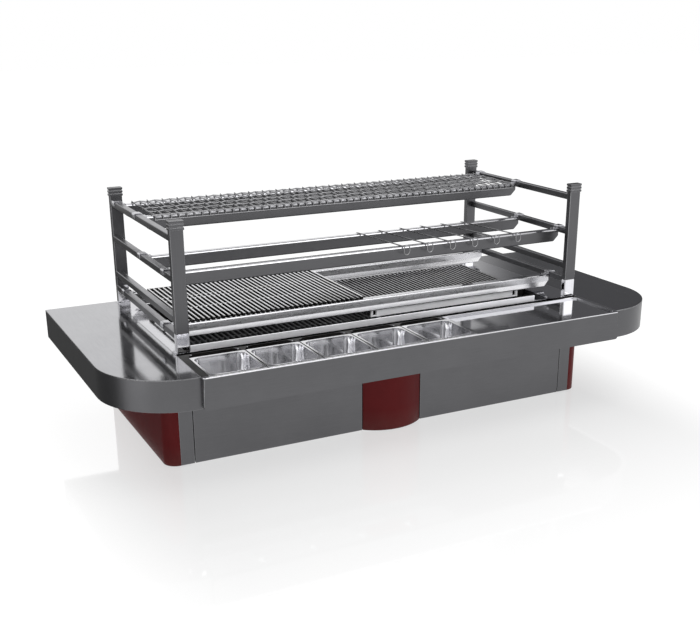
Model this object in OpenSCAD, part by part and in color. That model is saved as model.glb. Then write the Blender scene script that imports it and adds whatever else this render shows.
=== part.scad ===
// Robata grill: a low charcoal grill table of folded steel with a firebox, five lift-out
// pans, two ash drawers and a frame of rails that carries hooked beams at three levels.
// +X points to the right, +Y to the back and +Z up. The origin is on the floor under the
// middle of the table.

/* [Worktop] */
// Height of the worktop above the floor
worktop_h = 350; // [320:5:900]
// Depth of the worktop, front to back
worktop_d = 876; // [860:2:1000]
// Width of the middle of the worktop, between the end pieces
middle_w = 1409; // [1380:1:1600]
// Width of one end piece
end_w = 230.5; // [225:0.5:320]
// Height of the faces that close the worktop's sides
fascia_h = 92; // [88:1:120]
// Radius of the end pieces' front corners
end_corner_r = 220; // [60:5:225]
// How far the middle of the front stands proud of the end pieces
front_step = 16; // [8:1:30]
// Radius of the lower corners of the front face
front_corner_r = 9; // [3:1:20]
// Thickness of the top sheets
top_t = 3; // [2:0.5:4]
// Thickness of the folded faces, flanges and walls
skin_t = 2; // [1.5:0.5:3]
// Width of the lips folded in along lower edges
lip_w = 20; // [10:1:30]

/* [Front tray] */
// Depth of the zone in front of the posts
tray_zone_d = 232; // [225:1:300]
// Width of the dark slot between the tray and the deck
slot_w = 15; // [8:1:25]
// Depth of that slot
slot_depth = 30; // [15:1:40]
// Depth of the pressed recess to the right of the pans
recess_depth = 5; // [3:0.5:10]
// Width of the flat rim round that recess
recess_rim = 9; // [6:1:20]
// Corner radius of that recess
recess_r = 12; // [4:1:30]

/* [Pans] */
// Number of pans
pan_count = 5; // [1:1:5]
// Distance between the middles of two pans
pan_pitch = 170; // [169:1:180]
// Distance from the tray's left end to the first pan's middle
pan_first = 104.5; // [100:0.5:120]
// Width of a pan's opening
pan_w = 153.4; // [120:0.2:154]
// Length of a pan's opening, front to back
pan_len = 160; // [120:1:162]
// Depth of a pan
pan_depth = 64; // [40:1:66]
// Width of the flange round a pan
pan_flange = 8; // [5:0.5:8]
// Sheet thickness of a pan
pan_t = 1.2; // [0.8:0.1:1.5]
// Inner corner radius of a pan
pan_r = 24; // [10:1:40]
// Distance from the front edge to the pans' flanges
pan_front = 4; // [2:1:12]

/* [Plinth] */
// How far the plinth's side covers stand out past the middle of the worktop
plinth_over = 43.5; // [30:0.5:60]
// Distance from the back of the plinth to the back of the worktop
plinth_back = 24; // [10:1:40]
// Distance from the front of the worktop to the front of the plinth
plinth_setback = 240; // [236:1:260]
// Radius of the plinth's upright front corners
plinth_corner_r = 40; // [15:1:41]
// Width of the side covers' front returns
cover_return = 42; // [42:1:60]
// Width of the pilasters beside the covers
pilaster_w = 42; // [30:1:60]
// Depth of the folded edges of the pilasters and drawer fronts
edge_d = 20; // [12:1:30]
// Gap between the plinth's skins and the floor
skirt_gap = 3; // [2:1:10]
// Height of the feet, under the floor pan
foot_h = 15; // [10:1:24]
// Radius of a foot
foot_r = 25; // [15:1:40]
// Thickness of the floor pan
floor_t = 3; // [2:0.5:5]
// Width of the middle pillar
pillar_w = 207; // [160:1:240]
// How far the middle pillar bulges forward
pillar_bulge = 38; // [15:1:60]
// Gap between neighbouring front panels
panel_gap = 2.5; // [1.5:0.5:5]

/* [Ash drawers] */
// Finger gap above a drawer front
finger_gap = 22; // [18:1:40]
// Height of a drawer box
drawer_h = 140; // [80:1:150]
// Gap between a drawer box and the back wall
drawer_back = 87.5; // [20:0.5:200]
// Sheet thickness of a drawer box
drawer_t = 1.5; // [1:0.5:3]
// Room for one runner between a drawer box and the wall beside it
runner_w = 13; // [11:1:20]
// Outer height of a runner
runner_h = 34; // [20:1:50]
// Gap between the floor pan and a drawer box
drawer_lift = 12; // [6:1:20]

/* [Firebox] */
// Width of the firebox opening
pit_w = 1260; // [1200:2:1270]
// Width of the deck's strip behind the firebox opening
pit_back = 84; // [82:1:140]
// Distance from the deck's left end to the firebox opening
pit_left = 44.5; // [44:0.5:60]
// Width of the deck's strip in front of the firebox opening
pit_front = 6; // [5:1:15]
// Depth of the firebox tub
tub_depth = 85; // [80:1:86]
// Thickness of the fire bricks
brick_t = 28; // [20:1:40]
// Depth of the fire bricks' top below the worktop
brick_drop = 25; // [20:1:40]
// Depth of the charcoal grates' top below the worktop
coal_drop = 58; // [50:1:62]
// Height of the charcoal grates' ribs
coal_rib_h = 12; // [8:1:14]
// Distance between two ribs of a charcoal grate
coal_pitch = 18.5; // [15:0.5:30]
// Width of a rib of a charcoal grate
coal_rib_w = 8; // [5:0.5:12]
// Height of the polished rim along the front of the firebox
rim_h = 20; // [12:1:30]
// Gap between that rim's right end and the right side of the opening
rim_short = 62; // [20:1:120]

/* [Posts and rails] */
// Distance from the middle worktop's side to the posts
post_inset = 4.5; // [2:0.5:10]
// Width of a post
post_w = 40; // [30:1:50]
// Depth of a post
post_d = 20; // [16:1:30]
// Height of a post above the worktop
post_h = 352; // [346:1:450]
// Wall of the posts and rails
tube_t = 2; // [1.5:0.5:3]
// How far a cap stands out round its post
cap_lip = 2; // [1:0.5:3]
// Thickness of one plate of a cap
cap_plate_h = 7; // [4:1:10]
// Height of the groove between two plates of a cap
cap_groove_h = 3; // [2:0.5:5]
// Number of plates in a cap
cap_plates = 3; // [1:1:4]
// Height and depth of a rail's section
rail_s = 20; // [16:1:25]
// Top of the upper rails above the worktop
rail_top_h = 341; // [338:1:342]
// Top of the middle rails above the worktop
rail_mid_h = 225; // [210:1:235]
// Top of the lower rails above the worktop
rail_low_h = 108; // [100:1:120]
// Top of the base rails above the worktop
rail_base_h = 60; // [56:1:66]

/* [Beams and hooks] */
// Height of a beam's front face
beam_h = 40; // [30:1:46]
// Depth of a beam's flanges
beam_d = 28; // [20:1:32]
// Sheet thickness of a beam
beam_t = 2; // [1.5:0.5:3]
// Depth of a beam's top below its rail's top
beam_drop = 10; // [6:1:14]
// Size of the slanted cut at a beam's ends
beam_cut = 20; // [8:1:24]
// Gap between a beam's end and the rail
beam_gap = 2; // [1:0.5:4]
// Width of a hook
hook_w = 25; // [15:1:30]
// Thickness of a hook's strap
hook_t = 3; // [2:0.5:4]
// Length of the hook's tongue on the beam
hook_tongue = 16; // [10:1:18]
// Length of the hook's outer leg below the rail's top
hook_leg = 12; // [6:1:18]
// Clearance between parts that lie on or in each other
fit_gap = 0.3; // [0.2:0.05:0.5]
// Distance of the back upper beam before the posts' back face
beam_top_back_y = 62; // [58:1:100]
// Distance of the front upper beam behind the posts' front face
beam_top_front_y = 350; // [330:1:370]
// Distance of the back middle beam behind the posts' front face
beam_mid_back_y = 322; // [280:1:340]
// Distance of the front middle beam behind the posts' front face
beam_mid_front_y = 90; // [80:1:110]
// Distance of the back lower beam before the posts' back face
beam_low_back_y = 97; // [92:1:100]
// Distance of the front lower beam behind the posts' front face
beam_low_front_y = 126; // [120:1:130]

/* [Mesh shelf] */
// Number of gaps along the shelf
mesh_cols = 52; // [10:1:58]
// Number of rows of gaps on the flat of the shelf
mesh_rows = 4; // [2:1:4]
// Distance between two cross wires
mesh_pitch = 25; // [20:0.5:25]
// Radius of the shelf's wires
mesh_r = 2.2; // [1.5:0.1:2.5]
// Height of the hem bent down along the front
hem_h = 14; // [8:1:20]
// Length of the wire tips past the back wire
mesh_tip = 6; // [3:1:10]
// Distance from the posts' outer face to the shelf's left end
mesh_left = 60; // [56:1:80]

/* [Cooking grates] */
// Number of rods in the upper grate
upper_rods = 36; // [8:1:38]
// Distance between two rods of the upper grate
upper_pitch = 16; // [12:0.5:16]
// Radius of a rod
rod_r = 4; // [2.5:0.5:4]
// Distance from the posts' outer face to the upper grate's left rod
upper_left = 80; // [70:1:90]
// Number of rods in the lower grate
lower_rods = 38; // [8:1:38]
// Distance between two rods of the lower grate
lower_pitch = 15.6; // [12:0.2:15.6]
// Thickness of the grates' frame bars
frame_bar = 8; // [6:0.5:10]
// Height of the lower grate's front bar
front_bar_h = 22; // [21:0.5:22]
// Width of the two bearers under the lower grate
bearer_w = 12; // [8:1:16]

/* [Skewers] */
// Number of skewers
skewer_count = 6; // [1:1:6]
// Radius of a skewer's shaft
skewer_r = 2; // [1.5:0.1:2.5]
// Distance between two rings
ring_pitch = 84.4; // [60:0.4:84.4]
// Distance between two tips
tip_pitch = 81.8; // [60:0.4:84]
// Place of the first ring to the right of the table's middle
first_ring_x = 78; // [40:1:100]
// Place of the first tip to the right of the table's middle
first_tip_x = 41; // [20:1:60]
// Outer width of a ring
ring_w = 25; // [18:1:30]
// Outer height of a ring
ring_h = 33; // [26:1:40]
// Distance of the rings before the front middle beam
ring_reach = 32; // [30:1:40]
// Distance of the tips behind the back middle beam
tip_reach = 18; // [14:1:28]
// Height that a skewer's end is cranked up to its ring
crank_h = 6; // [3:1:8]

/* [Hidden] */
PANS = [for (i = [1:pan_count]) str("pan_", i)];
SKEWERS = [for (i = [1:skewer_count]) str("skewer_", i)];
BEAMS = ["beam_top_back", "beam_top_front", "beam_mid_back",
         "beam_mid_front", "beam_low_back", "beam_low_front"];

$fn = 48;
overrun = 1;

// Colours
steel_dark = [0.37, 0.37, 0.38];
steel_bright = [0.74, 0.74, 0.76];
steel_grey = [0.50, 0.50, 0.52];
red_paint = [0.33, 0.11, 0.12];
iron_black = [0.13, 0.13, 0.14];
brick_tan = [0.62, 0.52, 0.42];
rubber_black = [0.08, 0.08, 0.08];

// Worktop
top_z = worktop_h;
under_z = top_z - top_t;
front_y = -worktop_d / 2;
back_y = worktop_d / 2;
middle_x = middle_w / 2;
end_x = middle_x + end_w;
end_front_y = front_y + front_step;
fascia_z = top_z - fascia_h;
deck_front_y = front_y + tray_zone_d;
tray_back_y = deck_front_y - slot_w;

// Pans
pan_body_w = pan_w + 2 * pan_t;
pan_body_len = pan_len + 2 * pan_t;
pan_fit = 1;
pan_y = front_y + pan_front + pan_flange + pan_len / 2;
recess_left_x = -middle_x + pan_first + (pan_count - 0.5) * pan_pitch + recess_rim;
recess_right_x = middle_x - recess_rim - post_inset;

// Plinth
plinth_x = middle_x + plinth_over;
plinth_front_y = front_y + plinth_setback;
plinth_back_y = back_y - plinth_back;
pilaster_x = plinth_x - cover_return;
panel_x = pilaster_x - pilaster_w - panel_gap;
bay_x = pillar_w / 2;
wall_x = panel_x + panel_gap;
carcass_z = fascia_z - floor_t;
panel_z = skirt_gap;
drawer_front_h = carcass_z - finger_gap - panel_z;
floor_z = foot_h + floor_t;
wall_front_y = plinth_front_y + edge_d;
foot_share = 0.86;
rail_foot_d = 82;

// Drawers
box_outer_x = wall_x - runner_w;
box_inner_x = bay_x + runner_w;
box_front_y = wall_front_y + panel_gap;
drawer_d = plinth_back_y - skin_t - drawer_back - box_front_y;
box_z = floor_z + drawer_lift;
runner_z = box_z + (drawer_h - runner_h) / 2;
runner_d = drawer_d;
skid_w = runner_w - skin_t - 2 * fit_gap;
skid_h = runner_h - 2 * skin_t - 2 * fit_gap;

// Firebox
pit_x0 = -middle_x + pit_left;
pit_x1 = pit_x0 + pit_w;
pit_y0 = deck_front_y + pit_front;
pit_y1 = back_y - pit_back;
tub_z = top_z - tub_depth;
tub_floor_z = tub_z + skin_t;
brick_fit = 1;
brick_top_z = top_z - brick_drop;
coal_top_z = top_z - coal_drop;
coal_fit = 3;
chute_margin = 45;
chute_z = box_z + drawer_h + drawer_lift;

// Posts and rails
frame_x = middle_x - post_inset;
post_front_y = deck_front_y;
post_back_y = back_y - cap_lip;
post_top_z = top_z + post_h;
plug_h = 12;
bolt_r = 5;
bolt_head_r = 8;
bolt_head_h = 6;
bolt_fit = 0.2;
frame_d = post_back_y - post_front_y;
rail_len = frame_d - 2 * post_d;

// Beams
beam_x = frame_x - rail_s - beam_gap;
beam_levels = [rail_top_h, rail_top_h, rail_mid_h, rail_mid_h, rail_base_h, rail_base_h];
beam_places = [frame_d - beam_top_back_y, beam_top_front_y, beam_mid_back_y,
               beam_mid_front_y, frame_d - beam_low_back_y, beam_low_front_y];

// Mesh shelf
mesh_x0 = -frame_x + mesh_left;
mesh_x1 = mesh_x0 + mesh_cols * mesh_pitch;
mesh_z = top_z + rail_top_h - beam_drop + fit_gap + mesh_r;
mesh_y0 = post_front_y + beam_top_front_y - beam_d / 2 - mesh_r - 2 * fit_gap;
mesh_y1 = post_back_y - beam_top_back_y;
mesh_row_d = (mesh_y1 - mesh_y0) / mesh_rows;

// Upper grate
upper_z = top_z + rail_base_h - beam_drop + fit_gap + rod_r;
upper_x0 = -frame_x + upper_left;
upper_x1 = upper_x0 + upper_rods * upper_pitch;
upper_y0 = post_front_y + beam_low_front_y;
upper_y1 = post_back_y - beam_low_back_y - beam_d / 2 + frame_bar;

// Lower grate
lower_gap = 1;
lower_top_z = top_z + rail_base_h - beam_drop - beam_h - lower_gap;
lower_z = lower_top_z - rod_r;
lower_base_z = lower_top_z - front_bar_h;
bearer_top_z = lower_base_z - fit_gap;
lower_x1 = pit_x1 - bearer_w;
lower_x0 = lower_x1 - (lower_rods - 1) * lower_pitch - 2 * rod_r;
lower_y0 = post_front_y + beam_low_front_y;
lower_y1 = pit_y1 - brick_t;
bar_left_reach = 20;
bar_right_short = 36;
bar_left_x = lower_x0 - bar_left_reach;
bar_right_x = lower_x1 - bar_right_short;
bar_notch_w = 12;
bar_notch_inset = 8;
bar_web_h = 5;

// Skewers
skewer_z = top_z + rail_mid_h - beam_drop + fit_gap + skewer_r;
ring_wire_r = 1.6;
ring_y = beam_mid_front_y - ring_reach;
tip_y = beam_mid_back_y + tip_reach;

// A flat shape with four round corners, its lower left corner at the given point
module round_rect(x0, y0, w, d, r) {
    translate([x0 + r, y0]) square([w - 2 * r, d]);
    translate([x0, y0 + r]) square([w, d - 2 * r]);
    for (x = [x0 + r, x0 + w - r])
        for (y = [y0 + r, y0 + d - r])
            translate([x, y]) circle(r);
}

// Places its children on the left for a side of minus one, mirrored on the right for one
module on_side(side) {
    if (side < 0) children();
    else mirror([1, 0, 0]) children();
}

// A block between two corners
module block(x0, y0, z0, x1, y1, z1) {
    translate([x0, y0, z0]) cube([x1 - x0, y1 - y0, z1 - z0]);
}

// Pads under the floor pan
module feet() {
    foot_x = wall_x * foot_share;
    foot_y = [plinth_front_y + 3 * foot_r, plinth_back_y - 3 * foot_r];
    color(rubber_black)
        for (x = [-foot_x, 0, foot_x])
            for (y = foot_y)
                translate([x, y, 0]) cylinder(r = foot_r, h = foot_h);
}

// Bottom of the carcass
module floor_pan() {
    color(steel_grey)
        block(-wall_x - skin_t, wall_front_y + panel_gap, foot_h,
              wall_x + skin_t, plinth_back_y - skin_t, floor_z);
}

// The two upright walls beside the drawers
module side_walls() {
    color(steel_grey)
        for (side = [-1, 1])
            on_side(side)
                block(-wall_x - skin_t, wall_front_y, floor_z,
                      -wall_x, plinth_back_y - skin_t, carcass_z);
}

// Closes the back of the plinth between the side covers
module back_wall() {
    color(steel_grey)
        block(-pilaster_x, plinth_back_y - skin_t, panel_z,
              pilaster_x, plinth_back_y, carcass_z);
}

// The two walls of the bay behind the middle pillar, with the plate that joins them
module centre_bay() {
    color(steel_grey) {
        for (side = [-1, 1])
            on_side(side)
                block(-bay_x, wall_front_y, floor_z,
                      -bay_x + skin_t, plinth_back_y - skin_t, carcass_z);
        block(-bay_x, wall_front_y, floor_z, bay_x, wall_front_y + skin_t, carcass_z);
    }
}

// Angle profiles on top of the carcass that carry the front and back of the worktop
module cross_rails() {
    riser_front_y = tray_back_y - lip_w / 2;
    rail_x = wall_x + skin_t;
    color(steel_grey) {
        block(-rail_x, riser_front_y, carcass_z,
              rail_x, riser_front_y + rail_foot_d, fascia_z);
        block(-rail_x, riser_front_y, fascia_z,
              rail_x, riser_front_y + skin_t, top_z - slot_depth - skin_t);
        block(-rail_x, plinth_back_y - rail_foot_d, carcass_z,
              rail_x, plinth_back_y, fascia_z);
        block(-rail_x, plinth_back_y - skin_t, fascia_z, rail_x, plinth_back_y, under_z);
    }
}

// Painted cover round one side of the plinth, with a rounded front corner
module side_cover(side) {
    inner_r = plinth_corner_r - skin_t;
    corner_x = -plinth_x + plinth_corner_r;
    corner_y = plinth_front_y + plinth_corner_r;
    color(red_paint)
        on_side(side)
            translate([0, 0, panel_z])
                linear_extrude(carcass_z - panel_z) {
                    difference() {
                        translate([corner_x, corner_y]) circle(plinth_corner_r);
                        translate([corner_x, corner_y]) circle(inner_r);
                        translate([corner_x, corner_y - plinth_corner_r - overrun])
                            square([plinth_corner_r + overrun,
                                    2 * (plinth_corner_r + overrun)]);
                        translate([corner_x - plinth_corner_r - overrun, corner_y])
                            square([2 * (plinth_corner_r + overrun),
                                    plinth_corner_r + overrun]);
                    }
                    translate([-plinth_x, corner_y])
                        square([skin_t, plinth_back_y - corner_y]);
                    translate([corner_x, plinth_front_y])
                        square([-pilaster_x - corner_x, skin_t]);
                    translate([-plinth_x, plinth_back_y - skin_t])
                        square([plinth_x - pilaster_x, skin_t]);
                    translate([-pilaster_x - skin_t, plinth_front_y])
                        square([skin_t, edge_d]);
                }
}

// Folded strips between the side covers and the drawer fronts
module pilasters() {
    color(steel_dark)
        for (side = [-1, 1])
            on_side(side)
                difference() {
                    block(-pilaster_x, plinth_front_y, panel_z,
                          -pilaster_x + pilaster_w, plinth_front_y + edge_d, carcass_z);
                    block(-pilaster_x + skin_t, plinth_front_y + skin_t, panel_z - overrun,
                          -pilaster_x + pilaster_w - skin_t,
                          plinth_front_y + edge_d + overrun, carcass_z + overrun);
                }
}

// Bulging cover in the middle of the front
module pillar_cover() {
    arc_r = (bay_x * bay_x + pillar_bulge * pillar_bulge) / (2 * pillar_bulge);
    arc_y = plinth_front_y - pillar_bulge + arc_r;
    color(red_paint)
        translate([0, 0, panel_z])
            linear_extrude(carcass_z - panel_z) {
                intersection() {
                    difference() {
                        translate([0, arc_y]) circle(arc_r, $fn = 4 * $fn);
                        translate([0, arc_y]) circle(arc_r - skin_t, $fn = 4 * $fn);
                    }
                    translate([-bay_x, plinth_front_y - pillar_bulge - overrun])
                        square([2 * bay_x, pillar_bulge + 2 * overrun]);
                }
                for (x = [-bay_x, bay_x - skin_t])
                    translate([x, plinth_front_y]) square([skin_t, edge_d]);
            }
}

// Folded front panel of one drawer, with a finger lip along its top
module drawer_front(side) {
    color(steel_dark)
        on_side(side) {
            difference() {
                block(-panel_x, plinth_front_y, panel_z,
                      -bay_x - panel_gap, plinth_front_y + edge_d, panel_z + drawer_front_h);
                block(-panel_x + skin_t, plinth_front_y + skin_t, panel_z + skin_t,
                      -bay_x - panel_gap - skin_t, plinth_front_y + edge_d + overrun,
                      panel_z + drawer_front_h - skin_t);
            }
            block(-panel_x + lip_w, plinth_front_y + edge_d - skin_t, panel_z + skin_t,
                  -bay_x - panel_gap - lip_w, plinth_front_y + edge_d,
                  panel_z + drawer_front_h - lip_w);
        }
}

// Open box of one drawer, with the skids that ride in the runners
module drawer_box(side) {
    wall_in = drawer_t;
    color(steel_grey)
        on_side(side) {
            difference() {
                block(-box_outer_x, box_front_y - panel_gap, box_z,
                      -box_inner_x, box_front_y + drawer_d, box_z + drawer_h);
                block(-box_outer_x + wall_in, box_front_y - panel_gap + wall_in,
                      box_z + wall_in, -box_inner_x - wall_in,
                      box_front_y + drawer_d - wall_in, box_z + drawer_h + overrun);
            }
            for (x = [-box_outer_x - skid_w, -box_inner_x])
                translate([x, box_front_y, runner_z + skin_t + fit_gap])
                    cube([skid_w, drawer_d, skid_h]);
        }
}

// One runner, a channel open to the right, its web at x = 0
module runner() {
    difference() {
        cube([runner_w - fit_gap, runner_d, runner_h]);
        translate([skin_t, -overrun, skin_t])
            cube([runner_w, runner_d + 2 * overrun, runner_h - 2 * skin_t]);
    }
}

// The four channels that the drawers' skids ride in
module drawer_runners() {
    color(steel_bright)
        for (side = [-1, 1])
            on_side(side) {
                translate([-wall_x, box_front_y, runner_z]) runner();
                translate([-bay_x, box_front_y, runner_z]) mirror([1, 0, 0]) runner();
            }
}

// Plan of one ash chute, grown outwards by the given distance
module chute_plan(grow) {
    translate([-box_outer_x + chute_margin - grow, wall_front_y + chute_margin - grow])
        square([box_outer_x - box_inner_x - 2 * (chute_margin - grow),
                box_front_y + drawer_d - wall_front_y - 2 * (chute_margin - grow)]);
}

// Welded tub that holds the fire, open over the ash chutes
module firebox_tub() {
    color(steel_grey)
        difference() {
            block(pit_x0 - skin_t, pit_y0 - skin_t, tub_z,
                  pit_x1 + skin_t, pit_y1 + skin_t, under_z);
            block(pit_x0, pit_y0, tub_floor_z, pit_x1, pit_y1, under_z + overrun);
            for (side = [-1, 1])
                on_side(side)
                    translate([0, 0, tub_z - overrun])
                        linear_extrude(skin_t + 2 * overrun) chute_plan(0);
        }
}

// The two chutes that lead the ash down to the drawers
module ash_chutes() {
    color(steel_grey)
        for (side = [-1, 1])
            on_side(side)
                translate([0, 0, chute_z])
                    linear_extrude(tub_z - chute_z)
                        difference() {
                            chute_plan(skin_t);
                            chute_plan(0);
                        }
}

// Four slabs that line the firebox
module fire_bricks() {
    x0 = pit_x0 + brick_fit;
    x1 = pit_x1 - brick_fit;
    y0 = pit_y0 + brick_fit;
    y1 = pit_y1 - brick_fit;
    color(brick_tan) {
        block(x0, y0, tub_floor_z, x1, y0 + brick_t, brick_top_z);
        block(x0, y1 - brick_t, tub_floor_z, x1, y1, brick_top_z);
        for (x = [x0, x1 - brick_t])
            block(x, y0 + brick_t + brick_fit, tub_floor_z,
                  x + brick_t, y1 - brick_t - brick_fit, brick_top_z);
    }
}

// One charcoal grate between two places, standing on cross bars
module charcoal_grate(x0, x1) {
    y0 = pit_y0 + brick_fit + brick_t + coal_fit;
    y1 = pit_y1 - brick_fit - brick_t - coal_fit;
    rib_z = coal_top_z - coal_rib_h;
    ribs = floor((x1 - x0 - coal_rib_w) / coal_pitch);
    step = (x1 - x0 - coal_rib_w) / ribs;
    for (i = [0:ribs])
        block(x0 + i * step, y0, rib_z, x0 + i * step + coal_rib_w, y1, coal_top_z);
    for (y = [y0, (y0 + y1 - coal_rib_w) / 2, y1 - coal_rib_w])
        block(x0, y, tub_floor_z, x1, y + coal_rib_w, coal_top_z - coal_rib_w / 2);
}

// The two cast grates that the charcoal lies on
module charcoal_grates() {
    x0 = pit_x0 + brick_fit + brick_t + coal_fit;
    x1 = pit_x1 - brick_fit - brick_t - coal_fit;
    middle = (x0 + x1) / 2;
    color(iron_black) {
        charcoal_grate(x0, middle - coal_fit / 2);
        charcoal_grate(middle + coal_fit / 2, x1);
    }
}

// Two bars across the firebox that carry the lower grate
module grate_bearers() {
    color(steel_bright)
        for (x = [lower_x0, lower_x1 - bearer_w])
            block(x, pit_y0 + brick_fit, brick_top_z,
                  x + bearer_w, pit_y1 - brick_fit, bearer_top_z);
}

// Polished bar along the front of the firebox
module front_rim() {
    color(steel_bright)
        block(-frame_x + post_w + fit_gap, deck_front_y, top_z,
              pit_x1 - rim_short, deck_front_y + top_t, top_z + rim_h);
}

// Middle and back of the worktop, open over the firebox
module deck() {
    color(steel_bright)
        difference() {
            union() {
                block(-middle_x, deck_front_y, under_z, middle_x, back_y, top_z);
                block(-middle_x, deck_front_y, top_z - slot_depth,
                      middle_x, deck_front_y + skin_t, under_z);
                block(-middle_x, tray_back_y - skin_t, top_z - slot_depth - skin_t,
                      middle_x, deck_front_y + skin_t, top_z - slot_depth);
            }
            block(pit_x0, pit_y0, under_z - overrun, pit_x1, pit_y1, top_z + overrun);
            for (x = [-frame_x + post_w / 2, frame_x - post_w / 2])
                for (y = [post_front_y + post_d / 2, post_back_y - post_d / 2])
                    translate([x, y, under_z - overrun])
                        cylinder(r = bolt_r + bolt_fit, h = top_t + 2 * overrun);
        }
}

// Plan of one end piece, moved in from its outer edges by the given distance
module end_plan(inset) {
    r = end_corner_r - inset;
    x0 = -end_x + inset;
    y0 = end_front_y + inset;
    translate([x0, y0 + r]) square([end_w - inset, back_y - inset - y0 - r]);
    translate([x0 + r, y0]) square([end_w - inset - r, r]);
    translate([x0 + r, y0 + r]) circle(r, $fn = 2 * $fn);
}

// Steel top of one end
module end_top(side) {
    color(steel_bright)
        on_side(side)
            translate([0, 0, under_z])
                linear_extrude(top_t)
                    intersection() {
                        end_plan(0);
                        translate([-end_x, end_front_y]) square([end_w, worktop_d]);
                    }
}

// Folded face round one end, with a lip along its lower edge
module end_fascia(side) {
    color(steel_dark)
        on_side(side) {
            translate([0, 0, fascia_z])
                linear_extrude(under_z - fascia_z)
                    difference() {
                        end_plan(0);
                        end_plan(skin_t);
                        translate([-middle_x - skin_t, end_front_y + skin_t])
                            square([end_corner_r, worktop_d - front_step - 2 * skin_t]);
                        translate([-middle_x, end_front_y - overrun])
                            square([end_corner_r, worktop_d]);
                    }
            translate([0, 0, fascia_z])
                linear_extrude(skin_t)
                    difference() {
                        end_plan(0);
                        end_plan(lip_w);
                        translate([-middle_x - skin_t, end_front_y + lip_w])
                            square([end_corner_r, worktop_d - front_step - 2 * lip_w]);
                        translate([-middle_x, end_front_y - overrun])
                            square([end_corner_r, worktop_d]);
                    }
        }
}

// Folded face along the middle of the front
module front_fascia() {
    return_d = front_step + skin_t;
    color(steel_dark)
        intersection() {
            union() {
                block(-middle_x, front_y, fascia_z, middle_x, front_y + skin_t, under_z);
                block(-middle_x, front_y, fascia_z, middle_x, front_y + lip_w, fascia_z + skin_t);
                for (x = [-middle_x, middle_x - skin_t])
                    block(x, front_y, fascia_z, x + skin_t, front_y + return_d, under_z);
            }
            translate([0, front_y + lip_w + overrun, 0])
                rotate([90, 0, 0])
                    linear_extrude(lip_w + 2 * overrun)
                        round_rect(-middle_x, fascia_z, middle_w,
                                   fascia_h + front_corner_r, front_corner_r);
        }
}

// Face along the middle of the back
module back_fascia() {
    color(steel_dark)
        block(-middle_x, back_y - skin_t, fascia_z, middle_x, back_y, under_z);
}

// Pressed front of the worktop: a recess, and a cut-out for each pan that runs back to the
// slot and leaves a bar between one pan and the next
module front_tray() {
    hole_w = pan_body_w + 2 * pan_fit;
    hole_y0 = pan_y - pan_body_len / 2 - pan_fit;
    hole_r = pan_r + pan_t + pan_fit;
    recess_w = recess_right_x - recess_left_x;
    recess_y0 = front_y + recess_rim;
    recess_d = tray_back_y - recess_rim - recess_y0;
    color(steel_bright)
        difference() {
            union() {
                block(-middle_x, front_y, under_z, middle_x, tray_back_y, top_z);
                block(-middle_x, tray_back_y - skin_t, top_z - slot_depth,
                      middle_x, tray_back_y, under_z);
                translate([0, 0, under_z - recess_depth])
                    linear_extrude(recess_depth)
                        round_rect(recess_left_x - top_t, recess_y0 - top_t,
                                   recess_w + 2 * top_t, recess_d + 2 * top_t,
                                   recess_r + top_t);
            }
            for (i = [0:pan_count - 1])
                translate([-middle_x + pan_first + i * pan_pitch, 0, under_z - overrun])
                    linear_extrude(top_t + 2 * overrun)
                        round_rect(-hole_w / 2, hole_y0,
                                   hole_w, tray_back_y - skin_t - hole_y0, hole_r);
            translate([0, 0, top_z - recess_depth])
                linear_extrude(recess_depth + overrun)
                    round_rect(recess_left_x, recess_y0, recess_w, recess_d, recess_r);
        }
}

// One lift-out pan, hung by its flange
module pan(i) {
    color(steel_bright)
        translate([-middle_x + pan_first + i * pan_pitch, pan_y, top_z + fit_gap]) {
            difference() {
                union() {
                    linear_extrude(pan_t)
                        round_rect(-pan_w / 2 - pan_flange, -pan_len / 2 - pan_flange,
                                   pan_w + 2 * pan_flange, pan_len + 2 * pan_flange,
                                   pan_flange);
                    translate([0, 0, pan_t - pan_depth])
                        linear_extrude(pan_depth)
                            round_rect(-pan_body_w / 2, -pan_body_len / 2,
                                       pan_body_w, pan_body_len, pan_r + pan_t);
                }
                translate([0, 0, 2 * pan_t - pan_depth])
                    linear_extrude(pan_depth)
                        round_rect(-pan_w / 2, -pan_len / 2, pan_w, pan_len, pan_r);
            }
        }
}

// Upright plates that carry the end tops
module gussets() {
    gusset_tip_h = 30;
    gusset_y_shares = [0.17, 0.5, 0.83];
    gusset_run = plinth_back_y - skin_t - wall_front_y;
    reach = end_x - wall_x - 3 * skin_t;
    color(steel_grey)
        for (side = [-1, 1])
            on_side(side)
                for (share = gusset_y_shares)
                    translate([-wall_x - skin_t, wall_front_y + share * gusset_run, carcass_z])
                        rotate([90, 0, 0])
                            linear_extrude(top_t)
                                polygon([[skin_t, 0], [skin_t, under_z - carcass_z],
                                         [-reach, under_z - carcass_z],
                                         [-reach, under_z - carcass_z - gusset_tip_h],
                                         [-plinth_x + wall_x, 0]]);
}

// One post, a rectangular tube with a plug for its bolt
module post(side, y) {
    color(steel_dark)
        on_side(side)
            difference() {
                block(-frame_x, y, top_z, -frame_x + post_w, y + post_d, post_top_z);
                block(-frame_x + tube_t, y + tube_t, top_z + plug_h,
                      -frame_x + post_w - tube_t, y + post_d - tube_t, post_top_z + overrun);
                translate([-frame_x + post_w / 2, y + post_d / 2, top_z - overrun])
                    cylinder(r = bolt_r + bolt_fit, h = plug_h + 2 * overrun);
            }
}

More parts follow.
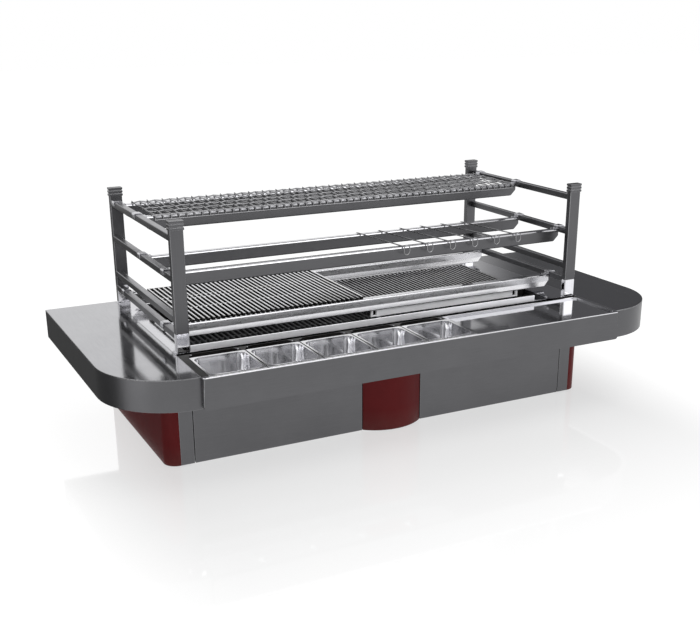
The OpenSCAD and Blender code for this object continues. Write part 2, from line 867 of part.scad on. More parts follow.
// Stacked plates on top of the posts
module post_caps() {
    color(steel_dark)
        for (side = [-1, 1])
            on_side(side)
                for (y = [post_front_y, post_back_y - post_d])
                    translate([-frame_x, y, post_top_z])
                        for (i = [0:cap_plates - 1]) {
                            translate([-cap_lip, -cap_lip, i * (cap_plate_h + cap_groove_h)])
                                cube([post_w + 2 * cap_lip, post_d + 2 * cap_lip, cap_plate_h]);
                            if (i != 0)
                                translate([0, 0, i * (cap_plate_h + cap_groove_h) - cap_groove_h])
                                    cube([post_w, post_d, cap_groove_h]);
                        }
}

// Bolts that hold the posts from under the deck
module post_bolts() {
    color(steel_bright)
        for (side = [-1, 1])
            on_side(side)
                for (y = [post_front_y, post_back_y - post_d])
                    translate([-frame_x + post_w / 2, y + post_d / 2, under_z]) {
                        translate([0, 0, -bolt_head_h])
                            cylinder(r = bolt_head_r, h = bolt_head_h, $fn = 6);
                        cylinder(r = bolt_r, h = top_t + plug_h);
                    }
}

// One rail, a square tube between the front and the back post
module rail(side, height) {
    on_side(side)
        translate([-frame_x, post_front_y + post_d, top_z + height - rail_s])
            difference() {
                cube([rail_s, rail_len, rail_s]);
                translate([tube_t, -overrun, tube_t])
                    cube([rail_s - 2 * tube_t, rail_len + 2 * overrun, rail_s - 2 * tube_t]);
            }
}

// The four rails of one side, one above another
module rails(side) {
    color(steel_dark)
        for (height = [rail_top_h, rail_mid_h, rail_low_h, rail_base_h])
            rail(side, height);
}

// Bent strap that hooks a beam's left end over its rail, from the rail's top
module hook() {
    inner = rail_s + fit_gap;
    tongue_z = fit_gap - beam_drop;
    translate([-frame_x, hook_w / 2, 0])
        rotate([90, 0, 0])
            linear_extrude(hook_w)
                polygon([[inner + hook_tongue, tongue_z],
                         [inner + hook_tongue, tongue_z + hook_t],
                         [inner + hook_t, tongue_z + hook_t],
                         [inner + hook_t, hook_t + fit_gap],
                         [-fit_gap - hook_t, hook_t + fit_gap],
                         [-fit_gap - hook_t, -hook_leg],
                         [-fit_gap, -hook_leg],
                         [-fit_gap, fit_gap],
                         [inner, fit_gap],
                         [inner, tongue_z]]);
}

// One beam across the frame, a channel open to the back, with a hook at each end
module beam(i) {
    color(steel_dark)
        translate([0, post_front_y + beam_places[i], top_z + beam_levels[i]]) {
            intersection() {
                translate([-beam_x, 0, -beam_drop - beam_h])
                    difference() {
                        translate([0, -beam_d / 2, 0]) cube([2 * beam_x, beam_d, beam_h]);
                        translate([-overrun, beam_t - beam_d / 2, beam_t])
                            cube([2 * (beam_x + overrun), beam_d, beam_h - 2 * beam_t]);
                    }
                translate([0, beam_d, 0])
                    rotate([90, 0, 0])
                        linear_extrude(2 * beam_d)
                            polygon([[-beam_x, -beam_drop],
                                     [-beam_x, beam_cut - beam_drop - beam_h],
                                     [beam_cut - beam_x, -beam_drop - beam_h],
                                     [beam_x - beam_cut, -beam_drop - beam_h],
                                     [beam_x, beam_cut - beam_drop - beam_h],
                                     [beam_x, -beam_drop]]);
            }
            for (side = [-1, 1])
                on_side(side) hook();
        }
}

// A wire along Y
module wire_y(x, y0, y1, z, r) {
    translate([x, y0, z]) rotate([-90, 0, 0]) cylinder(r = r, h = y1 - y0, $fn = 8);
}

// A wire along X
module wire_x(x0, x1, y, z, r) {
    translate([x0, y, z]) rotate([0, 90, 0]) cylinder(r = r, h = x1 - x0, $fn = 8);
}

// Wire shelf on the two upper beams
module mesh_shelf() {
    color(steel_bright) {
        for (i = [0:mesh_cols]) {
            x = mesh_x0 + i * mesh_pitch;
            wire_y(x, mesh_y0 - mesh_r, mesh_y1 + mesh_tip, mesh_z, mesh_r);
        }
        for (i = [0:mesh_rows])
            wire_x(mesh_x0 - mesh_r, mesh_x1 + mesh_r, mesh_y0 + i * mesh_row_d,
                   mesh_z + mesh_r / 2, mesh_r);
    }
}

// Hem of the wire shelf, bent down in front of the upper front beam
module mesh_hem() {
    color(steel_bright) {
        for (i = [0:mesh_cols])
            translate([mesh_x0 + i * mesh_pitch, mesh_y0, mesh_z - hem_h])
                cylinder(r = mesh_r, h = hem_h - mesh_r, $fn = 8);
        wire_x(mesh_x0 - mesh_r, mesh_x1 + mesh_r, mesh_y0 - mesh_r / 2,
               mesh_z - hem_h, mesh_r);
    }
}

// Cooking grate on the two lower beams, its rods free at the front
module upper_grate() {
    tie_shares = [1 / 3, 2 / 3];
    grate_d = upper_y1 - upper_y0;
    color(steel_bright) {
        for (i = [0:upper_rods - 1])
            translate([upper_x0 + i * upper_pitch, upper_y0, upper_z]) {
                rotate([-90, 0, 0])
                    cylinder(r = rod_r, h = grate_d - frame_bar / 2, $fn = 16);
                sphere(r = rod_r, $fn = 16);
            }
        block(upper_x0 - rod_r, upper_y1 - frame_bar, upper_z - rod_r,
              upper_x1 + rod_r, upper_y1, upper_z + rod_r);
        block(upper_x1 - rod_r, upper_y0, upper_z - rod_r,
              upper_x1 + rod_r, upper_y1, upper_z + rod_r);
        for (share = tie_shares)
            translate([upper_x0, upper_y0 + share * grate_d, upper_z - rod_r])
                cube([upper_x1 - upper_x0, frame_bar, rod_r]);
    }
}

// Cooking grate at worktop level, under the lower beams
module lower_grate() {
    color(steel_bright) {
        for (i = [0:lower_rods - 1])
            translate([lower_x0 + rod_r + i * lower_pitch, lower_y0, lower_z])
                rotate([-90, 0, 0])
                    cylinder(r = rod_r, h = lower_y1 - lower_y0 - frame_bar / 2, $fn = 16);
        block(lower_x0, lower_y1 - frame_bar, lower_base_z, lower_x1, lower_y1, lower_top_z);
        for (x = [lower_x0, lower_x1 - frame_bar])
            block(x, lower_y0, lower_base_z, x + frame_bar, lower_y1, lower_z);
        block(lower_x0, lower_y0, lower_base_z, lower_x1, lower_y0 + frame_bar, lower_z);
    }
}

// Bright bar along the front of the lower grate, notched near both ends
module grate_bar() {
    color(steel_bright)
        difference() {
            block(bar_left_x, lower_y0 - frame_bar, lower_base_z,
                  bar_right_x, lower_y0, lower_top_z);
            for (x = [bar_left_x + bar_notch_inset, bar_right_x - bar_notch_inset - bar_notch_w])
                block(x, lower_y0 - frame_bar - overrun, lower_base_z + bar_web_h,
                      x + bar_notch_w, lower_y0 + overrun, lower_top_z + overrun);
        }
}

// One skewer with an oval ring, lying on the two middle beams
module skewer(i) {
    ring_x = first_ring_x + i * ring_pitch;
    tip_x = first_tip_x + i * tip_pitch;
    run_y = tip_y - ring_y;
    turn = atan2(ring_x - tip_x, run_y);
    length = run_y / cos(turn);
    point_l = 6 * skewer_r;
    bend_r = ring_w / 2 - ring_wire_r;
    straight = ring_h - ring_w;
    crank_d = 2 * crank_h;
    color(steel_bright)
        translate([ring_x, post_front_y + ring_y, skewer_z])
            rotate([0, 0, turn]) {
                translate([0, crank_d, 0]) {
                    rotate([-90, 0, 0])
                        cylinder(r = skewer_r, h = length - point_l - crank_d);
                    rotate([atan2(crank_d, crank_h), 0, 0])
                        cylinder(r = ring_wire_r, h = norm([crank_d, crank_h]));
                }
                translate([0, length - point_l, 0])
                    rotate([-90, 0, 0]) cylinder(r1 = skewer_r, r2 = 0, h = point_l);
                translate([0, 0, crank_h - bend_r])
                    rotate([90, 0, 0])
                        rotate_extrude(angle = 180)
                            translate([bend_r, 0]) circle(ring_wire_r, $fn = 16);
                translate([0, 0, crank_h - bend_r - straight])
                    rotate([-90, 0, 0])
                        rotate_extrude(angle = 180)
                            translate([bend_r, 0]) circle(ring_wire_r, $fn = 16);
                for (x = [-bend_r, bend_r])
                    translate([x, 0, crank_h - bend_r - straight])
                        cylinder(r = ring_wire_r, h = straight, $fn = 16);
            }
}

feet();
floor_pan();
side_walls();
back_wall();
centre_bay();
cross_rails();
side_cover(-1);  // side_cover_left
side_cover(1);  // side_cover_right
pilasters();
pillar_cover();
drawer_front(-1);  // drawer_front_left
drawer_front(1);  // drawer_front_right
drawer_box(-1);  // drawer_box_left
drawer_box(1);  // drawer_box_right
drawer_runners();
firebox_tub();
ash_chutes();
fire_bricks();
charcoal_grates();
grate_bearers();
front_rim();
deck();
end_top(-1);  // end_top_left
end_top(1);  // end_top_right
end_fascia(-1);  // end_fascia_left
end_fascia(1);  // end_fascia_right
front_fascia();
back_fascia();
front_tray();
gussets();
post(-1, post_front_y);  // post_front_left
post(1, post_front_y);  // post_front_right
post(-1, post_back_y - post_d);  // post_back_left
post(1, post_back_y - post_d);  // post_back_right
post_caps();
post_bolts();
rails(-1);  // rails_left
rails(1);  // rails_right
for (i = [0:len(BEAMS) - 1])
    beam(i);
mesh_shelf();
mesh_hem();
upper_grate();
lower_grate();
grate_bar();
for (i = [0:skewer_count - 1])
    skewer(i);
for (i = [0:pan_count - 1])
    pan(i);
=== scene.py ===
# Robata grill: a low charcoal grill table of folded stainless steel, with lift-out pans, ash
# drawers and a frame of rails that carries hooked beams, grates, a wire shelf and skewers.
import math

import bmesh
import bpy
from mathutils import Matrix, Vector


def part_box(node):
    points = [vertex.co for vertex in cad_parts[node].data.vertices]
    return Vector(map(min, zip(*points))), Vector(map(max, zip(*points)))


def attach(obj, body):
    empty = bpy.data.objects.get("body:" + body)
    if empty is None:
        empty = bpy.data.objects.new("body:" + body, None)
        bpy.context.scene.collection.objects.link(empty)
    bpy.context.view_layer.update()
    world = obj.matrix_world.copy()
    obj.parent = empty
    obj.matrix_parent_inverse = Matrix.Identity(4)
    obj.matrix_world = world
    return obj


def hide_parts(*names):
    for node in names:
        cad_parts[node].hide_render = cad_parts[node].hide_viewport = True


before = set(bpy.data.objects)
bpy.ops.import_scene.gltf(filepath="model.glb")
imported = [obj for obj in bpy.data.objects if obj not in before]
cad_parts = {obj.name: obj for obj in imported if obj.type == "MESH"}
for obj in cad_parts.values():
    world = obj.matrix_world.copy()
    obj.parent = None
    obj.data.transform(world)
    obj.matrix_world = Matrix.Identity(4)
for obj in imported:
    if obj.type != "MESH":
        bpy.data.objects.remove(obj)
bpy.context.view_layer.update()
scene = bpy.context.scene


def mm(length):
    """Metres of a length in millimetres"""
    return length / 1000


# Camera: the photograph is taken from the front left, a little above the worktop
CAMERA_PLACE = (-1.5395, -2.9752, 1.2832)
CAMERA_TILT = 69.97
CAMERA_TURN = -27.46

camera = bpy.data.objects.new("camera", bpy.data.cameras.new("camera"))
scene.collection.objects.link(camera)
camera.location = CAMERA_PLACE
camera.rotation_euler = (math.radians(CAMERA_TILT), 0, math.radians(CAMERA_TURN))
camera.data.sensor_width = 36
camera.data.lens = 54.31
camera.data.shift_x = -0.0214
camera.data.shift_y = 0.1011
camera.data.clip_end = 100
scene.camera = camera


# Material tools
def linear(colour):
    """Linear colour of an sRGB hex value"""
    parts = [int(colour[i:i + 2], 16) / 255 for i in (1, 3, 5)]
    parts = [c / 12.92 if c <= 0.04045 else ((c + 0.055) / 1.055) ** 2.4 for c in parts]
    return (*parts, 1)


def node(tree, kind, inputs=None, **settings):
    """Adds a node: its settings by name, its inputs by name or number as values or outputs"""
    made = tree.nodes.new("ShaderNode" + kind)
    for name, value in settings.items():
        setattr(made, name, value)
    for name, value in (inputs or {}).items():
        if isinstance(value, bpy.types.NodeSocket):
            tree.links.new(value, made.inputs[name])
        else:
            made.inputs[name].default_value = value
    return made


def surface(name, metallic, **plain):
    """A new material, its node tree, its shader with plain values set, and Object coordinates"""
    material = bpy.data.materials.new(name)
    material.use_nodes = True
    tree = material.node_tree
    shader = tree.nodes["Principled BSDF"]
    shader.inputs["Metallic"].default_value = metallic
    for socket, value in plain.items():
        shader.inputs[socket.replace("_", " ")].default_value = value
    return material, tree, shader, node(tree, "TexCoord").outputs["Object"]


def cells(tree, place, size_mm, detail, rough):
    """Noise whose cells have the given size in millimetres, one number or three"""
    sizes = size_mm if isinstance(size_mm, tuple) else (size_mm,) * 3
    spread = node(tree, "Mapping", {"Vector": place, "Scale": [1 / mm(s) for s in sizes]})
    return node(tree, "TexNoise", {"Vector": spread.outputs[0], "Scale": 1, "Detail": detail,
                                   "Roughness": rough}).outputs["Fac"]


def between(tree, value, low, high, start=0.3, end=0.7):
    """A noise value spread over a range"""
    return node(tree, "MapRange", {"Value": value, "From Min": start, "From Max": end,
                                   "To Min": low, "To Max": high}).outputs[0]


def blend(tree, amount, first, second):
    """A mix of two colours, each an output or a linear colour"""
    mix = node(tree, "Mix", data_type="RGBA")
    for slot, value in ((0, amount), (6, first), (7, second)):
        if isinstance(value, bpy.types.NodeSocket):
            tree.links.new(value, mix.inputs[slot])
        else:
            mix.inputs[slot].default_value = value
    return mix.outputs[2]


def relief(tree, shader, height, depth_mm):
    """Bumps of the given depth on the shader's surface"""
    bump = node(tree, "Bump", {"Height": height, "Distance": mm(depth_mm), "Strength": 1})
    tree.links.new(bump.outputs[0], shader.inputs["Normal"])


# How long the grinding lines of a steel run, in millimetres
LINE_RUN = 60


def stretched(grain, across):
    """Cell sizes in millimetres of lines that run along X, Y or Z"""
    return tuple(LINE_RUN if axis == grain else across for axis in "XYZ")


def steel(name, light, dark, grain, smooth, rough, line_mm=2.4, depth=0.0):
    """Stainless steel with grinding lines one way, cloudy handling marks and a haze; a depth
    in millimetres cuts the lines into it, and they are then finer"""
    material, tree, shader, place = surface(name, 1.0)
    lines = cells(tree, place, stretched(grain, line_mm), 5 if depth else 2, 0.65)
    clouds = cells(tree, place, 190, 4, 0.6)
    marks = cells(tree, place, 34, 5, 0.7)
    tone = node(tree, "Math", {0: lines, 1: clouds}, operation="ADD").outputs[0]
    colour = blend(tree, between(tree, tone, 0, 1, 0.8, 1.2), linear(dark), linear(light))
    tree.links.new(colour, shader.inputs["Base Color"])
    haze = node(tree, "Math", {0: lines, 1: marks}, operation="MULTIPLY").outputs[0]
    tree.links.new(between(tree, haze, smooth, rough, 0.12, 0.4), shader.inputs["Roughness"])
    if depth:
        relief(tree, shader, lines, depth)
    return material


# Finishes
# Ground 304 stainless, dark satin: grey with hardly any shine, lines along the sheet
dark_satin = {g: steel("dark_satin_stainless_" + g.lower(), "#636365", "#5e5e60", g, 0.33, 0.39,
                       1.6, 0.0012) for g in "XYZ"}
# The same steel where hands and cloths have rubbed its folded edges: lighter and smoother; on the
# front fascia's end faces its lighter tone is a painted highlight
rubbed_edge = steel("rubbed_stainless_edge", "#8e8e90", "#7c7c7e", "X", 0.24, 0.32, depth=0.001)
# Mirror polished 304 stainless: clear reflections under faint wiping lines; on the beams' upward
# faces it is painted light, lighter than the faces below
mirror_steel = steel("mirror_polished_stainless", "#d2d2d5", "#c9c9cd", "X", 0.05, 0.11, 3.2)
# Polished by belt and a little worn: reflections run together into soft bands
soft_polish = steel("belt_polished_stainless", "#cbcbcf", "#bfbfc3", "Y", 0.17, 0.25, 2.6)
# The firebox's front rim: brushed, its colour lifted to nearly white as a painted highlight,
# so that it gathers light from all round and looks nearly white
rim_strip = steel("brushed_bright_rim_stainless", "#f8f8fa", "#f0f0f3", "X", 0.5, 0.58, 1.8, 0.001)
# The lower grate's front bar: bead blasted, almost matt, its colour lifted to nearly white as
# painted light, so that it stays light in the shade of the beam above it
blasted_bar = steel("bead_blasted_bar_stainless", "#fcfcfd", "#f6f6f8", "X", 0.78, 0.86, 1.8, 0.001)
# Pan steel: bright after deep drawing, its curves full of soft white streaks
pan_steel = steel("deep_drawn_pan_stainless", "#e4e4e6", "#dadadc", "Z", 0.09, 0.13, 3)
# Belt ground faces of the low beams: light, with cloudy reflections that run together
beam_polish = steel("belt_ground_beam_stainless", "#e6e6e8", "#dadadd", "X", 0.24, 0.34, 2.6)
# Mirror polished feet of the posts, brighter than the tubes above: a painted reflection of the
# bright worktop around them
foot_polish = steel("mirror_polished_post_foot", "#ececee", "#e4e4e7", "Z", 0.06, 0.12, 3.2)
# Tops of the rails: satin mid grey, lighter than their sides, as painted light from above
rail_wear = steel("strap_worn_stainless", "#9a9a9d", "#838386", "Y", 0.26, 0.36, depth=0.001)
# Crimped shelf wire after pickling: even mid grey with small highlights
shelf_wire = steel("pickled_stainless_wire", "#949496", "#7e7e80", "X", 0.30, 0.42, 4)
# Polished stainless of the end tops: silver grey, the frame mirrored softly beside it
end_polish = steel("polished_end_top_stainless", "#b2b2b5", "#ababae", "Y", 0.08, 0.12, 3.2)
# Bright annealed steel of the pans' rounded edges, nearly white and softly smooth; along the
# foot of the low beams' faces it is a painted highlight
bright_strip = steel("bright_annealed_stainless", "#f0f0f2", "#e6e6e9", "X", 0.16, 0.24, 3)
# Dark stainless with a dull sheen: painted shade, laid on the tray's back strip, on the bars
# between the pans and on the grate rods' lower sides
smoked_steel = steel("smoke_blackened_stainless", "#3a3938", "#232221", "Y", 0.4, 0.55, 2,
                     depth=0.004)
# Mill finish 304 stainless of the hidden carcass: dull pewter grey
mill_steel = steel("mill_finish_stainless", "#858588", "#7f7f82", "X", 0.4, 0.46, 1.8, 0.001)


def heated_rod(name, light, dark, tint, smooth, rough):
    """Drawn stainless bar over a fire: bright, with straw coloured patches and burnt-on film"""
    material, tree, shader, place = surface(name, 1.0)
    lines = cells(tree, place, stretched("Y", 1.6), 4, 0.6)
    heat = cells(tree, place, 120, 3, 0.5)
    film = cells(tree, place, 16, 6, 0.7)
    colour = blend(tree, between(tree, lines, 0, 1), linear(dark), linear(light))
    colour = blend(tree, between(tree, heat, 0, 0.45, 0.5, 0.75), colour, linear(tint))
    tree.links.new(colour, shader.inputs["Base Color"])
    tree.links.new(between(tree, film, smooth, rough), shader.inputs["Roughness"])
    relief(tree, shader, lines, 0.006)
    return material


# Drawn stainless rod of the upper grate: nearly white where it is clean
bright_rod = heated_rod("drawn_stainless_rod", "#e6e6e8", "#dadadd", "#cdc9c2", 0.14, 0.26)
# The lower grate's rods lie closer to the fire: greyer and duller
used_rod = heated_rod("smoked_stainless_rod", "#a0a0a2", "#8e8e90", "#8a8580", 0.2, 0.34)


def powder_coat():
    """Satin powder coat, dark red: even colour, fine orange peel, dust near the floor"""
    material, tree, shader, place = surface("satin_red_powder_coat", 0.0, IOR=1.5,
                                            Specular_IOR_Level=0.12)
    peel = cells(tree, place, 2.2, 3, 0.5)
    clouds = cells(tree, place, 120, 4, 0.6)
    paint = blend(tree, between(tree, clouds, 0, 1), linear("#641a1c"), linear("#6c1e20"))
    height = node(tree, "SeparateXYZ", {0: place}).outputs["Z"]
    low = node(tree, "MapRange", {"Value": height, "From Min": mm(3), "From Max": mm(70),
                                  "To Min": 0.22, "To Max": 0}).outputs[0]
    dust = node(tree, "Math", {0: low, 1: cells(tree, place, 26, 6, 0.7)},
                operation="MULTIPLY").outputs[0]
    tree.links.new(blend(tree, dust, paint, linear("#8a7c74")), shader.inputs["Base Color"])
    tree.links.new(between(tree, clouds, 0.42, 0.52), shader.inputs["Roughness"])
    relief(tree, shader, peel, 0.02)
    return material


def cast_iron():
    """Sand-cast grey iron under soot: nearly black, grainy, with ash in its hollows"""
    material, tree, shader, place = surface("sooty_cast_iron", 0.6)
    sand = cells(tree, place, 1.8, 5, 0.65)
    ash = cells(tree, place, 30, 5, 0.7)
    iron = blend(tree, between(tree, sand, 0, 1), linear("#47474a"), linear("#5a5a5c"))
    tree.links.new(blend(tree, between(tree, ash, 0, 0.3, 0.55, 0.8), iron, linear("#5e5b57")),
                   shader.inputs["Base Color"])
    tree.links.new(between(tree, sand, 0.45, 0.65), shader.inputs["Roughness"])
    relief(tree, shader, sand, 0.2)
    return material


def fire_brick():
    """Pressed fireclay, pitted: nearly black as painted shade of the deep firebox, with dark brown
    clay in patches
    """
    material, tree, shader, place = surface("sooty_fireclay", 0.0, Roughness=0.92, IOR=1.45)
    pores = node(tree, "TexVoronoi", {"Vector": place, "Scale": 1 / mm(5)},
                 feature="F1").outputs["Distance"]
    grit = cells(tree, place, 3, 6, 0.7)
    flakes = cells(tree, place, 48, 5, 0.65)
    clay = blend(tree, between(tree, grit, 0, 1), linear("#2b2621"), linear("#3a332b"))
    # Nearly black: painted shade of the deep firebox
    soot = blend(tree, between(tree, grit, 0, 1), linear("#0c0b0b"), linear("#161514"))
    tree.links.new(blend(tree, between(tree, flakes, 0, 1, 0.6, 0.72), soot, clay),
                   shader.inputs["Base Color"])
    deep = node(tree, "Math", {0: pores, 1: grit}, operation="MULTIPLY").outputs[0]
    relief(tree, shader, deep, 1.2)
    return material


def foot_rubber():
    """Moulded black rubber: matt, with a faint bloom"""
    material, tree, shader, place = surface("moulded_black_rubber", 0.0, IOR=1.52)
    bloom = cells(tree, place, 9, 5, 0.6)
    tree.links.new(blend(tree, between(tree, bloom, 0, 1), linear("#151515"),
                         linear("#222221")), shader.inputs["Base Color"])
    tree.links.new(between(tree, bloom, 0.7, 0.85), shader.inputs["Roughness"])
    relief(tree, shader, bloom, 0.05)
    return material


red_paint = powder_coat()
iron = cast_iron()
brick = fire_brick()
rubber = foot_rubber()


# Bench tools
def nothing_selected():
    """Leaves edit mode with nothing selected"""
    if bpy.context.mode != "OBJECT":
        bpy.ops.object.mode_set(mode="OBJECT")
    bpy.ops.object.select_all(action="DESELECT")


def alone(piece):
    """Leaves edit mode with one piece selected and nothing else"""
    nothing_selected()
    piece.select_set(True)
    bpy.context.view_layer.objects.active = piece
    return piece


def settled(piece):
    """Puts a new piece's place, turn and size into its mesh, and opens it for editing"""
    alone(piece)
    bpy.ops.object.transform_apply(location=True, rotation=True, scale=True)
    bpy.ops.object.mode_set(mode="EDIT")
    return piece


def started(name):
    """The piece that has just been made, under its name"""
    piece = bpy.context.active_object
    piece.name = piece.data.name = name
    return piece


def block(name, low, high):
    """A cube between two corners, open for editing"""
    nothing_selected()
    low, high = Vector(low), Vector(high)
    bpy.ops.mesh.primitive_cube_add(size=1, location=(low + high) / 2)
    piece = started(name)
    piece.scale = high - low
    return settled(piece)


def middle(part):
    """Middle of a face or edge"""
    return sum((v.co for v in part.verts), Vector()) / len(part.verts)


def choose(piece, kind, wanted):
    """In edit mode, selects the faces, edges or verts that pass a test, and nothing else"""
    bpy.ops.mesh.select_mode(type={"faces": "FACE", "edges": "EDGE", "verts": "VERT"}[kind])
    bpy.ops.mesh.select_all(action="DESELECT")
    shape = bmesh.from_edit_mesh(piece.data)
    shape.normal_update()
    for part in getattr(shape, kind):
        if wanted(part):
            part.select_set(True)
    bmesh.update_edit_mesh(piece.data)


def lies_along(edge, axis):
    """True for an edge that runs along X, Y or Z"""
    run = (edge.verts[1].co - edge.verts[0].co).normalized()
    return abs(run["XYZ".index(axis)]) > 0.999


def near(value, target, slack=0.0002):
    """True where two lengths are the same but for the slack, a fifth of a millimetre"""
    return abs(value - target) < slack


def rounded(piece, wanted, radius_mm, steps=3):
    """Rounds the chosen edges"""
    choose(piece, "edges", wanted)
    bpy.ops.mesh.bevel(offset=mm(radius_mm), segments=steps, affect="EDGES")


def worked(piece, kind, **settings):
    """Adds a modifier and applies it"""
    alone(piece)
    change = piece.modifiers.new("work", kind)
    for name, value in settings.items():
        setattr(change, name, value)
    bpy.ops.object.modifier_apply(modifier=change.name)
    return piece


def outwards(piece):
    """Merges doubles and turns a new piece's faces outwards"""
    alone(piece)
    bpy.ops.object.mode_set(mode="EDIT")
    bpy.ops.mesh.select_all(action="SELECT")
    bpy.ops.mesh.remove_doubles(threshold=mm(0.005))
    bpy.ops.mesh.normals_make_consistent(inside=False)
    bpy.ops.object.mode_set(mode="OBJECT")
    return piece


def copied(piece, name, shift=(0, 0, 0), turned=None):
    """A copy with its own mesh, moved, or changed by a matrix"""
    twin = bpy.data.objects.new(name, piece.data.copy())
    scene.collection.objects.link(twin)
    twin.data.transform(turned or Matrix.Translation(Vector(shift)))
    if turned and turned.determinant() < 0:
        twin.data.flip_normals()
    return twin


def joined(name, pieces):
    """Several pieces as one"""
    alone(pieces[0])
    for piece in pieces:
        piece.select_set(True)
    bpy.ops.object.join()
    return started(name)


def clad(mesh, finishes):
    """Gives a mesh its finishes in place of those it had"""
    mesh.materials.clear()
    for finish in finishes:
        mesh.materials.append(finish)


def finished(piece, body, finishes, stands_for=(), smooth=32, spread=None):
    """Gives a piece its finishes and its body; spread numbers a face's finish"""
    alone(piece)
    bpy.ops.object.shade_smooth_by_angle(angle=math.radians(smooth))
    worked(piece, "WEIGHTED_NORMAL", keep_sharp=True)
    if finishes:
        clad(piece.data, finishes)
    if spread:
        for face in piece.data.polygons:
            face.material_index = spread(face)
    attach(piece, body)
    if stands_for:
        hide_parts(*stands_for)
    return piece


def eased(name, body, finishes, fold=0.8, steps=2, before=None, spread=None):
    """A CAD node's shape with its edges rounded, the second finish on what was rounded"""
    piece = bpy.data.objects.new(name + "_sheet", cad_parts[name].data.copy())
    scene.collection.objects.link(piece)
    alone(piece)
    clad(piece.data, finishes)
    bpy.ops.mesh.customdata_custom_splitnormals_clear()
    bpy.ops.object.mode_set(mode="EDIT")
    bpy.ops.mesh.select_all(action="SELECT")
    bpy.ops.mesh.remove_doubles(threshold=mm(0.01))
    bpy.ops.mesh.dissolve_limited(angle_limit=math.radians(0.5))
    if before:
        before(piece)
    bpy.ops.object.mode_set(mode="OBJECT")
    worked(piece, "BEVEL", width=mm(fold), segments=steps, limit_method="ANGLE",
           angle_limit=math.radians(38), material=min(1, len(finishes) - 1),
           harden_normals=False, use_clamp_overlap=True)
    return finished(piece, body, None, [name], spread=spread)


TABLE = "table"
top_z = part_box("deck")[1].z

# Folded faces of the worktop and the plinth
for side in ("left", "right"):
    eased("end_fascia_" + side, TABLE, [dark_satin["X"], rubbed_edge], 0.7)
    eased("end_top_" + side, TABLE, [end_polish, rubbed_edge, mill_steel], 1.4,
          spread=lambda f: 0 if f.normal.z > 0.98 else 2 if f.normal.z < -0.5 else 1)
    eased("side_cover_" + side, TABLE, [red_paint], 0.8)
    eased("drawer_front_" + side, "ash_drawer_" + side,
          [dark_satin["X"], rubbed_edge], 0.9)


tray_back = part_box("front_tray")[1].y
pans_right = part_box("pan_5")[1].x
# The bars between the pans, dark with painted shade, start this far behind the pans' front edges
BAR_START = mm(12)
pans_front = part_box("pan_5")[0].y + BAR_START
# Width of the strip along the tray's back that is dark with painted shade, and depth of the polish
# down from its top
BACK_STRIP, TOP_POLISH = mm(5), mm(6.5)
# Radius in millimetres of the upright folds at both ends of the front
FOLD_R = 10


def front_nose(piece):
    """Rounds the tray's front corners and the folded edge along the top of the front, and
    marks off the bars between the pans and the strip along the back for their painted shade"""
    low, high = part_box("front_tray")
    front = low.y
    for place, way in (((0, pans_front, 0), (0, 1, 0)), ((pans_right, 0, 0), (1, 0, 0)),
                       ((0, tray_back - BACK_STRIP, 0), (0, 1, 0))):
        bpy.ops.mesh.select_all(action="SELECT")
        bpy.ops.mesh.bisect(plane_co=place, plane_no=way)
    rounded(piece, lambda e: lies_along(e, "Z") and near(middle(e).y, front)
            and (near(middle(e).x, low.x) or near(middle(e).x, high.x)), FOLD_R, 6)
    rounded(piece, lambda e: lies_along(e, "X") and near(middle(e).y, front)
            and near(middle(e).z, top_z), 2.4, 4)


def tray_finish(face):
    """Painted shade on the strip along the back and on the bars between the pans; satin on
    the front, polished on top"""
    place = face.center
    back = place.y > tray_back - BACK_STRIP
    bars = place.x < pans_right and place.y > pans_front and face.normal.z > 0.9
    return 2 if back or bars else 1 if place.z < top_z - TOP_POLISH else 0


def folded_ends(piece):
    """Rounds the upright folds where the front turns back at both ends"""
    low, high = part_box("front_fascia")
    rounded(piece, lambda e: lies_along(e, "Z") and near(middle(e).y, low.y)
            and (near(middle(e).x, low.x) or near(middle(e).x, high.x)), FOLD_R, 6)


# The front fascia's faces that look left or right take the lighter rubbed steel: a painted
# highlight, so that its folded ends and the step stay as light as its front
eased("front_fascia", TABLE, [dark_satin["X"], rubbed_edge], 0.9, 2, folded_ends,
      lambda f: 1 if abs(f.normal.x) > 0.8 else 0)
eased("back_fascia", TABLE, [dark_satin["X"], rubbed_edge], 0.8)
eased("pilasters", TABLE, [dark_satin["Z"], rubbed_edge], 0.9)
eased("pillar_cover", TABLE, [red_paint], 0.8)
eased("front_tray", TABLE,
      [mirror_steel, dark_satin["X"], smoked_steel], 1.1, 3, front_nose, tray_finish)


def pit_corners(piece):
    """Rounds the upright corners of the firebox opening"""
    low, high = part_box("firebox_tub")
    sheet = mm(2)
    rounded(piece, lambda e: lies_along(e, "Z")
            and any(near(middle(e).x, x) for x in (low.x + sheet, high.x - sheet))
            and any(near(middle(e).y, y) for y in (low.y + sheet, high.y - sheet)), 22, 6)


eased("deck", TABLE, [mirror_steel], 0.9, 2, pit_corners)
eased("front_rim", TABLE, [rim_strip], 1.1, 3)
eased("grate_bar", "lower_grate", [blasted_bar], 1.2, 3)
eased("fire_bricks", TABLE, [brick], 2.5, 2)
eased("charcoal_grates", TABLE, [iron], 1.2, 1)
eased("grate_bearers", TABLE, [used_rod], 1.0, 2)

# Carcass and other hidden parts keep their solids and get their finish
for name in ("floor_pan", "side_walls", "back_wall", "centre_bay", "cross_rails", "gussets",
             "firebox_tub", "ash_chutes", "drawer_box_left", "drawer_box_right",
             "drawer_runners", "post_bolts", "feet"):
    clad(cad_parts[name].data, [rubber if name == "feet" else mill_steel])


# Posts: rectangular tubes whose feet are brighter with a painted reflection of the worktop, and
# caps of three plates
POST_FOOT = mm(57)


